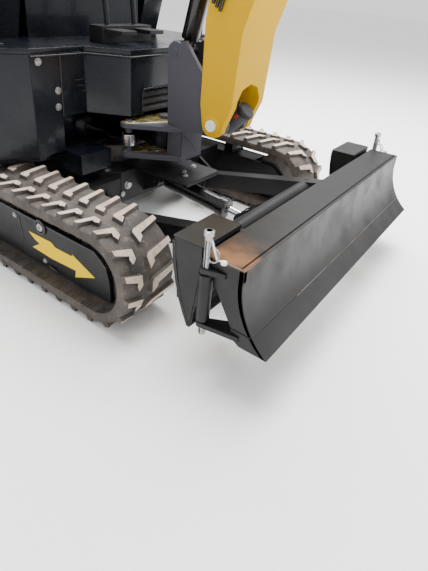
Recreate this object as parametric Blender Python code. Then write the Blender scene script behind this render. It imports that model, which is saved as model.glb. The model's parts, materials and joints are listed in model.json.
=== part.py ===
"""Mini excavator on rubber tracks: slewing house with canopy, swinging boom and a dozer blade with folding wings.

Metres, +Z up, +X forward, +Y to the machine's left. Sizes are written in a frame whose X = 0 is the slew axis
and whose Z = 0 is the ground. The last step moves the whole machine so that its box is centred on X = 0.
"""

import math

import bmesh
import bpy
from mathutils import Matrix, Vector

GAP = 0.0003          # between two pieces that touch
PIN_PLAY = 0.0007     # radial room of a pin in its bore
SIDE_PLAY = 0.0033    # between plates that slide past each other
RUN_PLAY = 0.0080     # between pieces that move past each other
ROUND = 20            # sides of a pin or tube
PLATE = 0.012         # structural plate
SHEET = 0.008         # cover panel with its folded edges

# ---- tracks ---------------------------------------------------------------------------------
TRACK_WIDTH = 0.180
TRACK_Y = 0.454                   # centre of a track from the machine's centre line
BELT_RADIUS = 0.129               # outside of the belt round idler and sprocket, without lugs
BELT_THICKNESS = 0.030
LUG_HEIGHT = 0.012
LUG_COUNT = 44
IDLER_X = 0.534
SPROCKET_X = -0.459
WHEEL_Z = BELT_RADIUS + LUG_HEIGHT
BELT_INNER_RADIUS = BELT_RADIUS - BELT_THICKNESS
WHEEL_RADIUS = BELT_INNER_RADIUS - 0.0012
WHEEL_WIDTH = 0.062
AXLE_RADIUS = 0.015
TRACK_TOP = 2 * WHEEL_Z
TRACK_INNER_Y = TRACK_Y - TRACK_WIDTH / 2
FRAME_WIDTH = 0.090               # over the two side plates of a track frame
FRAME_LOW = 0.050
FRAME_TIP = 0.567                 # X of the side plates' front edge
FRAME_HIGH = 0.190
FRAME_BEAM_LOW = 0.100
ROLLER_RADIUS = 0.036
ROLLER_X = (-0.29, -0.10, 0.09, 0.28)
CARRIER_RADIUS = 0.022
CARRIER_X = 0.290
MOTOR_RADIUS = 0.058

# ---- chassis --------------------------------------------------------------------------------
CHASSIS_HALF_WIDTH = 0.200
CHASSIS_REAR = -0.300
CHASSIS_FRONT = 0.245
CHASSIS_LOW = 0.120
CHASSIS_HIGH = 0.230
AXLE_TUBE = 0.085
AXLE_TUBE_X = (-0.235, 0.200)
SLEW_RADIUS = 0.185

# ---- blade ----------------------------------------------------------------------------------
BLADE_PIVOT = (0.300, 0.115)      # X and Z of the lift pins
BLADE_ARM_Y = 0.250
BLADE_ARM_WIDTH = 0.050
BLADE_ARM_DEPTH = 0.060
BLADE_ARM_SLOPE = 0.21
BLADE_HALF_LENGTH = 0.500
BLADE_FRONT = 1.020               # X of the cutting tip
BLADE_LOW = 0.137
BLADE_HIGH = 0.322
BLADE_FLANGE_DEPTH = 0.078
BLADE_CURVE_RADIUS = 0.1875
EDGE_HEIGHT = 0.038
CROSS_TUBE_X = 0.731
CROSS_TUBE_RADIUS = 0.030
BLADE_CYL_BASE = (0.290, 0.190)
BLADE_CYL_EYE = (0.650, 0.150)
WING_PIN_X = 0.860
WING_PIN_Y = 0.505
WING_LENGTH = 0.145
WING_LOW = 0.112
WING_HIGH = 0.330
WING_FRONT = 0.840
WING_DEPTH = 0.083
WING_PIN_RADIUS = 0.008

# ---- house ----------------------------------------------------------------------------------
PLATFORM_LOW = TRACK_TOP + 0.008
PLATFORM_THICKNESS = 0.020
PLATFORM_HIGH = PLATFORM_LOW + PLATFORM_THICKNESS
COVER_LOW = PLATFORM_HIGH + GAP
COVER_HIGH = 0.600
HOUSE_HALF_WIDTH = 0.490
NOSE_X = 0.272
NOSE_HALF_WIDTH = 0.130
NOSE_LOW = 0.418
NOTCH_RIGHT_Y = -0.290            # the opening below the nose reaches this far round the swing cylinder
NOSE_ROOT_Y = 0.200               # where the nose's slanted sides meet the front panel
CORNER_X = 0.150                  # the front panel, up to where it turns into the corner panel
CORNER_Y = 0.385
SIDE_FRONT_X = 0.082              # where the corner panel turns into the side panel
SIDE_REAR_X = -0.450
TAIL_RADIUS = 0.750
FLOOR_THICKNESS = 0.014
FLOOR_LOW = COVER_HIGH + GAP
FLOOR_HIGH = FLOOR_LOW + FLOOR_THICKNESS
FLOOR_REAR_X = -0.405
WINDOW_Y = (-0.082, 0.069)        # the hose window in the nose's front
WINDOW_Z = (0.410, 0.495)
WEIGHT_HIGH = 0.620
HOOD_FRONT_X = -0.413
HOOD_HIGH = 0.880
CANOPY_TOP = 1.970
POST = 0.040
FRONT_POST_X = 0.060
REAR_POST_X = -0.372
POST_Y = 0.450

# ---- swing post -----------------------------------------------------------------------------
SWING_X = 0.300
EAR_THICKNESS = 0.015
EAR_LOW = PLATFORM_LOW
EAR_HIGH = 0.385
BOSS_RADIUS = 0.050
SWING_PIN_RADIUS = 0.020
SWING_CYL_BASE = (-0.215, -0.140)
SWING_CYL_EYE = (0.262, -0.130)
SWING_CYL_Z = (EAR_LOW + EAR_THICKNESS + EAR_HIGH) / 2
BRACKET_HALF_WIDTH = 0.055
BOOM_PIN = (0.550, 0.443)
BOOM_CYL_BASE = (0.380, 0.620)
HORN_TIP = (0.611, 0.489)         # of the round lamp barrel under the boom's foot
HORN_RADIUS = 0.025

# ---- boom, arm and bucket -------------------------------------------------------------------
BOOM_HALF_WIDTH = 0.085
BOOM_EYE = (0.500, 1.100)         # lug on the boom for its own cylinder
ARM_CYL_BASE = (0.700, 1.320)
ARM_PIN = (1.160, 1.590)
ARM_CYL_EYE = (1.080, 1.720)
ARM_HALF_WIDTH = 0.035
ARM_LENGTH = 0.750
ARM_DIP = math.radians(45)        # the arm points this far below level, forward
ROCKER_FROM_TIP = 0.160
ROCKER_LENGTH = 0.110
BUCKET_CYL_BASE_ALONG = 0.070
BUCKET_CYL_BASE_UP = 0.105
BUCKET_HALF_WIDTH = 0.175
BUCKET_WALL = 0.007

# ---- cylinders ------------------------------------------------------------------------------
EYE_HALF_WIDTH = 0.018
EYE_RADIUS = 0.025
CYL_PIN_RADIUS = 0.011
BARREL_START = 0.036              # from the base pin, clear of the lugs beside it
ROD_LEFT_IN = 0.012               # still inside the barrel at full reach
ROD_END_ROOM = 0.004              # left in the bore with the rod right in
BLADE_STROKE = (0.040, 0.030)     # out and in from rest
SWING_STROKE = (0.105, 0.095)
BOOM_STROKE = (0.283, 0.020)
ARM_STROKE = (0.125, 0.125)
BUCKET_STROKE = (0.115, 0.115)

ROOT = "undercarriage"


def xz(x, z):
    return (x, 0.0, z)


def arm_point(along, up):
    """A point of the arm's side view: metres from the arm pin towards the tip, and square to that on the upper side."""
    cos, sin = math.cos(ARM_DIP), math.sin(ARM_DIP)
    return (ARM_PIN[0] + along * cos + up * sin, ARM_PIN[1] - along * sin + up * cos)


BUCKET_PIN = arm_point(ARM_LENGTH, 0)
ROCKER_PIN = arm_point(ARM_LENGTH - ROCKER_FROM_TIP, 0)
ROCKER_END = arm_point(ARM_LENGTH - ROCKER_FROM_TIP, ROCKER_LENGTH)
LINK_END = arm_point(ARM_LENGTH, ROCKER_LENGTH)
BUCKET_CYL_BASE = arm_point(BUCKET_CYL_BASE_ALONG, BUCKET_CYL_BASE_UP)

# Each body's parent and a point on the axis that it turns about or slides along.
BODIES = {
    ROOT: (None, (0, 0, 0)),
    "blade": (ROOT, xz(*BLADE_PIVOT)),
    "wing_right": ("blade", (WING_PIN_X, -WING_PIN_Y, WING_LOW)),
    "wing_left": ("blade", (WING_PIN_X, WING_PIN_Y, WING_LOW)),
    "blade_barrel": (ROOT, xz(*BLADE_CYL_BASE)),
    "blade_rod": ("blade_barrel", xz(*BLADE_CYL_EYE)),
    "house": (ROOT, (0, 0, PLATFORM_LOW)),
    "hood": ("house", (HOOD_FRONT_X, 0, HOOD_HIGH)),
    "swing": ("house", (SWING_X, 0, EAR_LOW)),
    "swing_barrel": ("house", (*SWING_CYL_BASE, SWING_CYL_Z)),
    "swing_rod": ("swing_barrel", (*SWING_CYL_EYE, SWING_CYL_Z)),
    "boom": ("swing", xz(*BOOM_PIN)),
    "boom_barrel": ("swing", xz(*BOOM_CYL_BASE)),
    "boom_rod": ("boom_barrel", xz(*BOOM_EYE)),
    "arm": ("boom", xz(*ARM_PIN)),
    "arm_barrel": ("boom", xz(*ARM_CYL_BASE)),
    "arm_rod": ("arm_barrel", xz(*ARM_CYL_EYE)),
    "bucket": ("arm", xz(*BUCKET_PIN)),
    "rocker": ("arm", xz(*ROCKER_PIN)),
    "link": ("rocker", xz(*ROCKER_END)),
    "bucket_barrel": ("arm", xz(*BUCKET_CYL_BASE)),
    "bucket_rod": ("bucket_barrel", xz(*ROCKER_END)),
}


# ---- shapes ---------------------------------------------------------------------------------
def mesh_object(points, faces):
    mesh = bpy.data.meshes.new("shape")
    mesh.from_pydata(points, [], faces)
    shape = bmesh.new()
    shape.from_mesh(mesh)
    bmesh.ops.recalc_face_normals(shape, faces=shape.faces[:])
    shape.to_mesh(mesh)
    shape.free()
    made = bpy.data.objects.new("shape", mesh)
    bpy.context.scene.collection.objects.link(made)
    return made


def prism(outline, axis, low, high):
    """The outline, in the two other axes in X, Y, Z order, drawn out along axis from low to high."""
    def place(a, b, along):
        point = [a, b]
        point.insert("xyz".index(axis), along)
        return point

    count = len(outline)
    points = [place(a, b, low) for a, b in outline] + [place(a, b, high) for a, b in outline]
    faces = [list(range(count)), list(range(2 * count - 1, count - 1, -1))]
    for i in range(count):
        j = (i + 1) % count
        faces.append([i, j, count + j, count + i])
    return mesh_object(points, faces)


def box(x, y, z):
    """A block from three (low, high) pairs."""
    outline = [(x[0], y[0]), (x[1], y[0]), (x[1], y[1]), (x[0], y[1])]
    return prism(outline, "z", z[0], z[1])


def rod(start, end, radius, sides=ROUND):
    """A round bar between two points."""
    start, end = Vector(start), Vector(end)
    along = end - start
    across = along.orthogonal().normalized()
    over = along.normalized().cross(across)
    rings = []
    for centre in (start, end):
        for i in range(sides):
            turn = 2 * math.pi * i / sides
            rings.append(centre + radius * (math.cos(turn) * across + math.sin(turn) * over))
    faces = [list(range(sides)), list(range(2 * sides - 1, sides - 1, -1))]
    for i in range(sides):
        j = (i + 1) % sides
        faces.append([i, j, sides + j, sides + i])
    return mesh_object(rings, faces)


def cross_rod(centre, radius, y, sides=ROUND):
    """A round bar along Y through the side-view point centre, from y[0] to y[1]."""
    return rod((centre[0], y[0], centre[1]), (centre[0], y[1], centre[1]), radius, sides)


def upright(x, y, radius, z, sides=ROUND):
    return rod((x, y, z[0]), (x, y, z[1]), radius, sides)


def arc(centre, radius, start, end, steps):
    """Points on a circle between two angles in degrees."""
    points = []
    for i in range(steps + 1):
        turn = math.radians(start + (end - start) * i / steps)
        points.append((centre[0] + radius * math.cos(turn), centre[1] + radius * math.sin(turn)))
    return points


def hull(*circles, steps=16):
    """The outline of a band stretched round circles given as (centre, radius)."""
    points = set()
    for centre, radius in circles:
        points.update(arc(centre, radius, 0, 360 - 360 / steps, steps - 1))
    ordered = sorted(points)

    def half(sequence):
        chain = []
        for p in sequence:
            while len(chain) > 1:
                a, b = chain[-2], chain[-1]
                if (b[0] - a[0]) * (p[1] - a[1]) - (b[1] - a[1]) * (p[0] - a[0]) > 1e-12:
                    break
                chain.pop()
            chain.append(p)
        return chain[:-1]

    return half(ordered) + half(reversed(ordered))


def wall(route, thickness, z, before=None, after=None):
    """An upright sheet along an open route of (x, y) points, its thickness on the route's left.

    before and after are the points where a neighbouring sheet goes on, so that the two meet in a mitre.
    """
    corners = [before or route[0], *route, after or route[-1]]
    inner = []
    for i, here in enumerate(route):
        here = Vector(here)
        steps = [here - Vector(corners[i]), Vector(corners[i + 2]) - here]
        steps = [step.normalized() for step in steps if step.length > 0]
        along = sum(steps, Vector((0, 0))).normalized()
        reach = thickness / along.dot(steps[0])
        inner.append(tuple(here + reach * Vector((-along.y, along.x))))
    return prism(list(route) + inner[::-1], "z", z[0], z[1])


def mirrored(outline):
    """A closed outline from its half at Y >= 0, given from front to rear."""
    return outline + [(x, -y) for x, y in reversed(outline) if y > 0]


def pair(side, low, high):
    """Low and high Y on one side of the machine."""
    return tuple(sorted((side * low, side * high)))


# ---- nodes ----------------------------------------------------------------------------------
def material(name, colour, roughness, metallic=0.0):
    made = bpy.data.materials.new(name)
    made.use_nodes = True
    shader = made.node_tree.nodes["Principled BSDF"]
    shader.inputs["Base Color"].default_value = (*colour, 1)
    shader.inputs["Roughness"].default_value = roughness
    shader.inputs["Metallic"].default_value = metallic
    made.diffuse_color = (*colour, 1)
    return made


def combine(base, other, operation):
    other.hide_render = True
    other.display_type = "WIRE"
    other.name = f"{operation.lower()}_for_{base.name}"
    other.parent = bpy.data.objects["machine"]
    modifier = base.modifiers.new(operation.title(), "BOOLEAN")
    modifier.operation = operation
    modifier.object = other


def node(name, body, look, add, cut=()):
    """One named solid of a body: the shapes of add joined, less those of cut."""
    base = add[0]
    base.name = name
    base.data.name = name
    base.data.transform(Matrix.Translation(-Vector(BODIES[body][1])))
    base.parent = bpy.data.objects[f"{body}_axis"]
    for other in add[1:]:
        combine(base, other, "UNION")
    for other in cut:
        combine(base, other, "DIFFERENCE")
    base.data.materials.append(look)
    base.data.shade_smooth()
    base.data.set_sharp_from_angle(angle=math.radians(35))
    return base


def make_axes():
    machine = bpy.data.objects.new("machine", None)
    bpy.context.scene.collection.objects.link(machine)
    for body, (parent, point) in BODIES.items():
        axis = bpy.data.objects.new(f"{body}_axis", None)
        bpy.context.scene.collection.objects.link(axis)
        axis.parent = machine if parent is None else bpy.data.objects[f"{parent}_axis"]
        start = Vector((0, 0, 0)) if parent is None else Vector(BODIES[parent][1])
        axis.location = Vector(point) - start


# ---- undercarriage --------------------------------------------------------------------------
def loop_point(travel, radius):
    """A point (x, z) beside the belt after travel along its outside, at radius from the wheel centres."""
    straight = IDLER_X - SPROCKET_X
    bend = math.pi * BELT_RADIUS
    travel %= 2 * (straight + bend)
    if travel < straight:
        return (SPROCKET_X + travel, WHEEL_Z - radius)
    travel -= straight
    if travel < bend:
        turn = travel / BELT_RADIUS
        return (IDLER_X + radius * math.sin(turn), WHEEL_Z - radius * math.cos(turn))
    travel -= bend
    if travel < straight:
        return (IDLER_X - travel, WHEEL_Z + radius)
    turn = (travel - straight) / BELT_RADIUS
    return (SPROCKET_X - radius * math.sin(turn), WHEEL_Z + radius * math.cos(turn))


def rubber_track(side, look):
    """The belt with its lugs drawn in the outline, as one closed loop."""
    pitch = 2 * (IDLER_X - SPROCKET_X + math.pi * BELT_RADIUS) / LUG_COUNT
    lug = ((0.30, 0.0), (0.37, LUG_HEIGHT), (0.63, LUG_HEIGHT), (0.70, 0.0))
    outer, inner = [], []
    for i in range(LUG_COUNT):
        for share, rise in lug:
            travel = (i + share) * pitch
            outer.append(loop_point(travel, BELT_RADIUS + rise))
            inner.append(loop_point(travel, BELT_INNER_RADIUS))
    count = len(outer)
    low, high = pair(side, TRACK_INNER_Y, TRACK_INNER_Y + TRACK_WIDTH)
    points = [(x, y, z) for y in (low, high) for ring in (outer, inner) for x, z in ring]
    faces = []
    for i in range(count):
        j = (i + 1) % count
        near_out, near_in, far_out, far_in = (k * count for k in range(4))
        faces.append([near_out + i, near_out + j, near_in + j, near_in + i])
        faces.append([far_out + j, far_out + i, far_in + i, far_in + j])
        faces.append([near_out + j, near_out + i, far_out + i, far_out + j])
        faces.append([near_in + i, near_in + j, far_in + j, far_in + i])
    return node("rubber_track_" + NAMES[side], ROOT, look, [mesh_object(points, faces)])


def track_frame(side, look):
    inner = TRACK_Y - FRAME_WIDTH / 2
    outer = TRACK_Y + FRAME_WIDTH / 2
    plate = 0.010
    beam_front = IDLER_X - WHEEL_RADIUS - 0.010
    beam_rear = SPROCKET_X + WHEEL_RADIUS + 0.010
    plate_outline = [(beam_rear - 0.004, FRAME_LOW), (FRAME_TIP, FRAME_LOW + 0.004),
                     (FRAME_TIP - 0.004, 0.115),
                     (FRAME_TIP - 0.016, 0.156), (FRAME_TIP - 0.055,
                                                  FRAME_HIGH - 0.005), (beam_rear - 0.004, FRAME_HIGH)]
    add = [box((beam_rear, beam_front), pair(side, inner + 0.002, outer - 0.002),
               (FRAME_BEAM_LOW, FRAME_HIGH - 0.004))]
    for low in (inner, outer - plate):
        y = pair(side, low, low + plate)
        add.append(prism(plate_outline, "y", *y))
    add.append(prism(hull(((SPROCKET_X, WHEEL_Z), 0.070), ((beam_rear, 0.130), 0.055)), "y",
                     *pair(side, inner, inner + plate)))
    add.append(cross_rod((IDLER_X, WHEEL_Z), AXLE_RADIUS, pair(side, inner + 0.002, outer - 0.002)))
    add.append(cross_rod((SPROCKET_X, WHEEL_Z), MOTOR_RADIUS, pair(side, inner - 0.070, inner + 0.002)))
    roller_z = WHEEL_Z - BELT_INNER_RADIUS + GAP + ROLLER_RADIUS
    for x in ROLLER_X:
        add.append(cross_rod((x, roller_z), ROLLER_RADIUS, pair(side, inner + plate + 0.004,
                                                                outer - plate - 0.004)))
    carrier_z = WHEEL_Z + BELT_INNER_RADIUS - GAP - CARRIER_RADIUS
    add.append(cross_rod((CARRIER_X, carrier_z), CARRIER_RADIUS, pair(side, TRACK_Y - 0.030, TRACK_Y + 0.030),
                         16))
    add.append(box((CARRIER_X - 0.020, CARRIER_X + 0.020), pair(side, TRACK_Y - 0.036, TRACK_Y + 0.036),
                   (FRAME_HIGH - 0.010, carrier_z)))
    return node("track_frame_" + NAMES[side], ROOT, look, add)


def idler(side, look):
    low, high = pair(side, TRACK_Y - WHEEL_WIDTH / 2, TRACK_Y + WHEEL_WIDTH / 2)
    centre = (IDLER_X, WHEEL_Z)
    bore = cross_rod(centre, AXLE_RADIUS + GAP * 2, (low - 0.01, high + 0.01))
    return node("idler_" + NAMES[side], ROOT, look, [cross_rod(centre, WHEEL_RADIUS, (low, high), 32)],
                [bore])


def sprocket(side, look):
    """A toothed disc on the travel motor, with its hub against the frame's inner plate."""
    inner = TRACK_Y - FRAME_WIDTH / 2 + 0.010
    teeth = 9
    outline = []
    for i in range(teeth * 4):
        radius = WHEEL_RADIUS if i % 4 in (1, 2) else WHEEL_RADIUS - 0.016
        turn = 2 * math.pi * i / (teeth * 4)
        outline.append((SPROCKET_X + radius * math.cos(turn), WHEEL_Z + radius * math.sin(turn)))
    disc = prism(outline, "y", *pair(side, TRACK_Y - 0.012, TRACK_Y + 0.012))
    hub = cross_rod((SPROCKET_X, WHEEL_Z), 0.050, pair(side, inner + GAP, TRACK_Y + 0.030))
    return node("sprocket_" + NAMES[side], ROOT, look, [disc, hub])


def chassis(look):
    half = CHASSIS_HALF_WIDTH
    low, high = CHASSIS_LOW, CHASSIS_HIGH
    chamfer = 0.050
    outline = [(CHASSIS_FRONT, half - chamfer), (CHASSIS_FRONT - chamfer, half),
               (CHASSIS_REAR + chamfer, half), (CHASSIS_REAR, half - chamfer)]
    add = [prism(mirrored(outline), "z", low, high)]
    reach = TRACK_Y - FRAME_WIDTH / 2 - GAP
    for x in AXLE_TUBE_X:
        add.append(box((x - AXLE_TUBE / 2, x + AXLE_TUBE / 2), (-reach, reach),
                       (low + 0.004, low + 0.004 + AXLE_TUBE)))
    ear = hull((BLADE_PIVOT, 0.032), ((0.215, 0.150), 0.045))
    for side in (1, -1):
        near = BLADE_ARM_Y - BLADE_ARM_WIDTH / 2 - SIDE_PLAY
        far = BLADE_ARM_Y + BLADE_ARM_WIDTH / 2 + SIDE_PLAY
        add.append(prism(ear, "y", *pair(side, near - PLATE, near)))
        add.append(prism(ear, "y", *pair(side, far, far + PLATE)))
        add.append(cross_rod(BLADE_PIVOT, 0.013, pair(side, near - PLATE / 2, far + PLATE + 0.004)))
    lug = hull((BLADE_CYL_BASE, 0.028), ((CHASSIS_FRONT - 0.02, 0.175), 0.045))
    for side in (1, -1):
        near = EYE_HALF_WIDTH + SIDE_PLAY + 0.012
        add.append(prism(lug, "y", *pair(side, near, near + PLATE)))
    add.append(cross_rod(BLADE_CYL_BASE, CYL_PIN_RADIUS, (-0.052, 0.052)))
    return node("chassis", ROOT, look, add)


def slew_ring(look):
    ring = upright(0, 0, SLEW_RADIUS, (CHASSIS_HIGH + GAP, PLATFORM_LOW - 0.0008), 48)
    bore = upright(0, 0, SLEW_RADIUS - 0.060, (CHASSIS_HIGH - 0.01, PLATFORM_LOW + 0.01), 32)
    return node("slew_ring", ROOT, look, [ring], [bore])


def cylinder_guard(look):
    """The bent plate over the blade cylinder's root, bolted on the chassis."""
    low = CHASSIS_HIGH + GAP
    front = 0.470
    outline = [(SLEW_RADIUS + 0.010, 0.095), (front - 0.012, 0.095), (front, 0.086)]
    full = outline + [(x, -y) for x, y in reversed(outline)]
    return node("blade_cylinder_guard", ROOT, look, [prism(full, "z", low, low + 0.006)])


# ---- blade ----------------------------------------------------------------------------------
BLADE_CURVE_Z = BLADE_HIGH - 0.035    # below this the plate bends forward


def blade_bend(z):
    """How far forward of its straight top the blade's plate lies at height z."""
    drop = max(0.0, BLADE_CURVE_Z - z)
    return BLADE_CURVE_RADIUS - math.sqrt(BLADE_CURVE_RADIUS**2 - drop**2)


BLADE_BACK = BLADE_FRONT - PLATE - blade_bend(BLADE_LOW)


def blade_face(z):
    """X of the concave front face at height z."""
    return BLADE_BACK + PLATE + blade_bend(z)


def curved_plate(low, high, steps):
    """Side view of the face plate between two heights."""
    heights = [low + (high - low) * i / steps for i in range(steps + 1)]
    front = [(blade_face(z), z) for z in heights]
    back = [(blade_face(z) - PLATE, z) for z in reversed(heights)]
    return front + back


def dozer_blade(look):
    half = BLADE_HALF_LENGTH
    seam = BLADE_LOW + EDGE_HEIGHT
    flange_rear = BLADE_BACK + PLATE - BLADE_FLANGE_DEPTH
    add = [prism(curved_plate(seam, BLADE_HIGH, 8), "y", -half, half)]
    add.append(box((flange_rear, BLADE_BACK + 0.004), (-half + 0.001, half - 0.001),
                   (BLADE_HIGH - PLATE, BLADE_HIGH - 0.001)))
    cheek = curved_plate(seam + 0.001, BLADE_HIGH - 0.002, 6)[:7]
    cheek += [(flange_rear + 0.001, BLADE_HIGH - 0.002), (flange_rear + 0.001, BLADE_HIGH - 0.035),
              (flange_rear + 0.030, BLADE_HIGH - 0.057), (BLADE_BACK - 0.020, seam + 0.001)]
    tongue_z = (BLADE_HIGH - 0.036, BLADE_HIGH - 0.024)
    cut = []
    for side in (1, -1):
        add.append(prism(cheek, "y", *pair(side, half - PLATE, half - 0.0005)))
        tongue = hull(((WING_PIN_X, side * WING_PIN_Y), 0.0145),
                      ((BLADE_BACK + 0.004, side * (half - 0.045)), 0.015))
        add.append(prism(tongue, "z", *tongue_z))
        cut.append(upright(WING_PIN_X, side * WING_PIN_Y, WING_PIN_RADIUS + GAP * 2,
                           (0.05, BLADE_HIGH + 0.05)))
        for y in (BLADE_ARM_Y - 0.040, BLADE_ARM_Y + 0.040):
            rib = [(BLADE_BACK + 0.003, BLADE_HIGH - 0.005), (flange_rear + 0.012, BLADE_HIGH - 0.005),
                   (BLADE_BACK - 0.030, seam + 0.020), (blade_face(seam) - PLATE + 0.003, seam + 0.004)]
            add.append(prism(rib, "y", *pair(side, y - 0.004, y + 0.004)))
    return node("dozer_blade", "blade", look, add, cut)


def cutting_edge(look):
    half = BLADE_HALF_LENGTH
    top = BLADE_LOW + EDGE_HEIGHT - GAP
    add = [prism(curved_plate(BLADE_LOW, top, 3), "y", -half, half)]
    cheek = curved_plate(BLADE_LOW + 0.0005, top - 0.0005, 3)[:4]
    cheek += [(BLADE_BACK - 0.016, top - 0.0005), (BLADE_BACK - 0.008, BLADE_LOW + 0.010),
              (BLADE_BACK + 0.008, BLADE_LOW + 0.0005)]
    cut = []
    for side in (1, -1):
        add.append(prism(cheek, "y", *pair(side, half - PLATE, half - 0.0005)))
        z = (BLADE_LOW + 0.014, BLADE_LOW + 0.026)
        tongue = hull(((WING_PIN_X, side * WING_PIN_Y), 0.0145),
                      ((BLADE_FRONT - 0.040, side * (half - 0.045)), 0.015))
        add.append(prism(tongue, "z", *z))
        cut.append(upright(WING_PIN_X, side * WING_PIN_Y, WING_PIN_RADIUS + GAP * 2,
                           (0.05, BLADE_HIGH + 0.05)))
    return node("cutting_edge", "blade", look, add, cut)


def lift_frame(look):
    """The two arms from the chassis to the blade, their cross tube and the lug for the lift cylinder."""
    pivot_x, pivot_z = BLADE_PIVOT
    half = BLADE_ARM_DEPTH / 2

    def middle(x):
        return pivot_z + BLADE_ARM_SLOPE * (x - pivot_x)

    side_view = []
    for i in range(4):
        z = middle(BLADE_BACK) - half + BLADE_ARM_DEPTH * i / 3
        side_view.append((blade_face(z) - PLATE - GAP, z))
    side_view.append((pivot_x, pivot_z + half))
    side_view += arc(BLADE_PIVOT, half, 100, 260, 8)
    side_view.append((pivot_x, pivot_z - half))
    width = BLADE_ARM_WIDTH
    add = [cross_rod((CROSS_TUBE_X, middle(CROSS_TUBE_X)), CROSS_TUBE_RADIUS, (-BLADE_ARM_Y, BLADE_ARM_Y))]
    cut = []
    for side in (1, -1):
        add.append(prism(side_view, "y", *pair(side, BLADE_ARM_Y - width / 2, BLADE_ARM_Y + width / 2)))
        cut.append(cross_rod(BLADE_PIVOT, 0.013 + PIN_PLAY,
                             pair(side, BLADE_ARM_Y - width, BLADE_ARM_Y + width)))
        near = EYE_HALF_WIDTH + SIDE_PLAY
        lug = hull((BLADE_CYL_EYE, 0.026), ((CROSS_TUBE_X, middle(CROSS_TUBE_X)), 0.028))
        add.append(prism(lug, "y", *pair(side, near, near + PLATE)))
    return node("blade_lift_frame", "blade", look, add, cut)


def wing(side, look):
    """One folding blade extension, folded in behind the blade's end on its upright pin."""
    outer = WING_PIN_Y - 0.010
    y = pair(side, outer - WING_LENGTH, outer)
    back, front = WING_FRONT - WING_DEPTH, WING_FRONT
    height = WING_HIGH - WING_LOW
    face = []
    for i in range(7):
        share = i / 6
        face.append((back + 0.012 + 0.050 * share**2, WING_HIGH - 0.010 - (height - 0.010) * share))
    plate = face + [(x - 0.010, z) for x, z in reversed(face)]
    add = [prism(plate, "y", *y)]
    add.append(box((back + 0.003, front), (y[0] + 0.001, y[1] - 0.001), (WING_HIGH - 0.012, WING_HIGH)))
    cheek = [(back + 0.006, WING_HIGH - 0.001), (front - 0.001, WING_HIGH - 0.001),
             (front - 0.001, WING_HIGH - 0.050)]
    cheek += [(face[-1][0] - 0.002, face[-1][1] + 0.002), (face[4][0] - 0.004, face[4][1])]
    for edge in (outer - 0.010, outer - WING_LENGTH):
        add.append(prism(cheek, "y", *pair(side, edge + 0.0006, edge + 0.0094)))
    knuckle_z = (BLADE_LOW + 0.026 + SIDE_PLAY, BLADE_HIGH - 0.036 - SIDE_PLAY)
    add.append(upright(WING_PIN_X, side * WING_PIN_Y, 0.015, knuckle_z))
    web_z = (knuckle_z[0] + 0.010, knuckle_z[1] - 0.010)
    add.append(box((back + 0.020, WING_PIN_X - 0.005), pair(side, outer - 0.011, outer - 0.001), web_z))
    bore = upright(WING_PIN_X, side * WING_PIN_Y, WING_PIN_RADIUS + PIN_PLAY, (0.05, WING_HIGH + 0.05))
    return node("blade_wing_" + NAMES[side], "wing_" + NAMES[side], look, add, [bore])


def wing_pin(side, look):
    x, y = WING_PIN_X, side * WING_PIN_Y
    top = BLADE_HIGH + 0.060
    add = [upright(x, y, WING_PIN_RADIUS, (BLADE_LOW - 0.010, top)),
           upright(x, y, WING_PIN_RADIUS + 0.003, (top - 0.012, top - 0.001))]
    return node("wing_pin_" + NAMES[side], "blade", look, add)


# ---- cylinders ------------------------------------------------------------------------------
def cylinder(name, base, eye, radius, barrel_share, stroke, looks, upright_pins=False):
    """A barrel on its base pin and a rod whose eye meets a lug: base and eye are points on the two pins.

    stroke is how far the rod goes out and in from rest.
    """
    base, eye = Vector(base), Vector(eye)
    along = (eye - base).normalized()
    reach = EYE_HALF_WIDTH * (Vector((0, 0, 1)) if upright_pins else Vector((0, 1, 0)))
    mouth = base + (eye - base) * barrel_share
    rod_radius = radius * 0.5
    rod_start = mouth - along * (stroke[0] + ROD_LEFT_IN)
    bore_end = rod_start - along * (stroke[1] + ROD_END_ROOM)
    barrel = [rod(base + along * BARREL_START, mouth, radius, 24),
              rod(base - reach, base + reach, EYE_RADIUS)]
    barrel.append(rod(base, base + along * (BARREL_START + 0.004), EYE_HALF_WIDTH - 0.001))
    barrel.append(rod(mouth - along * 0.030, mouth - along * 0.001, radius + 0.004, 24))
    pin_bore = rod(base - 3 * reach, base + 3 * reach, CYL_PIN_RADIUS + PIN_PLAY)
    rod_bore = rod(bore_end, mouth + along * 0.010, rod_radius + GAP * 2)
    node(name + "_cylinder_barrel", name + "_barrel", looks["steel"], barrel, [pin_bore, rod_bore])
    piston = [rod(rod_start, eye - along * 0.012, rod_radius), rod(eye - reach, eye + reach, EYE_RADIUS)]
    node(name + "_cylinder_rod", name + "_rod", looks["chrome"], piston)


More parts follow.
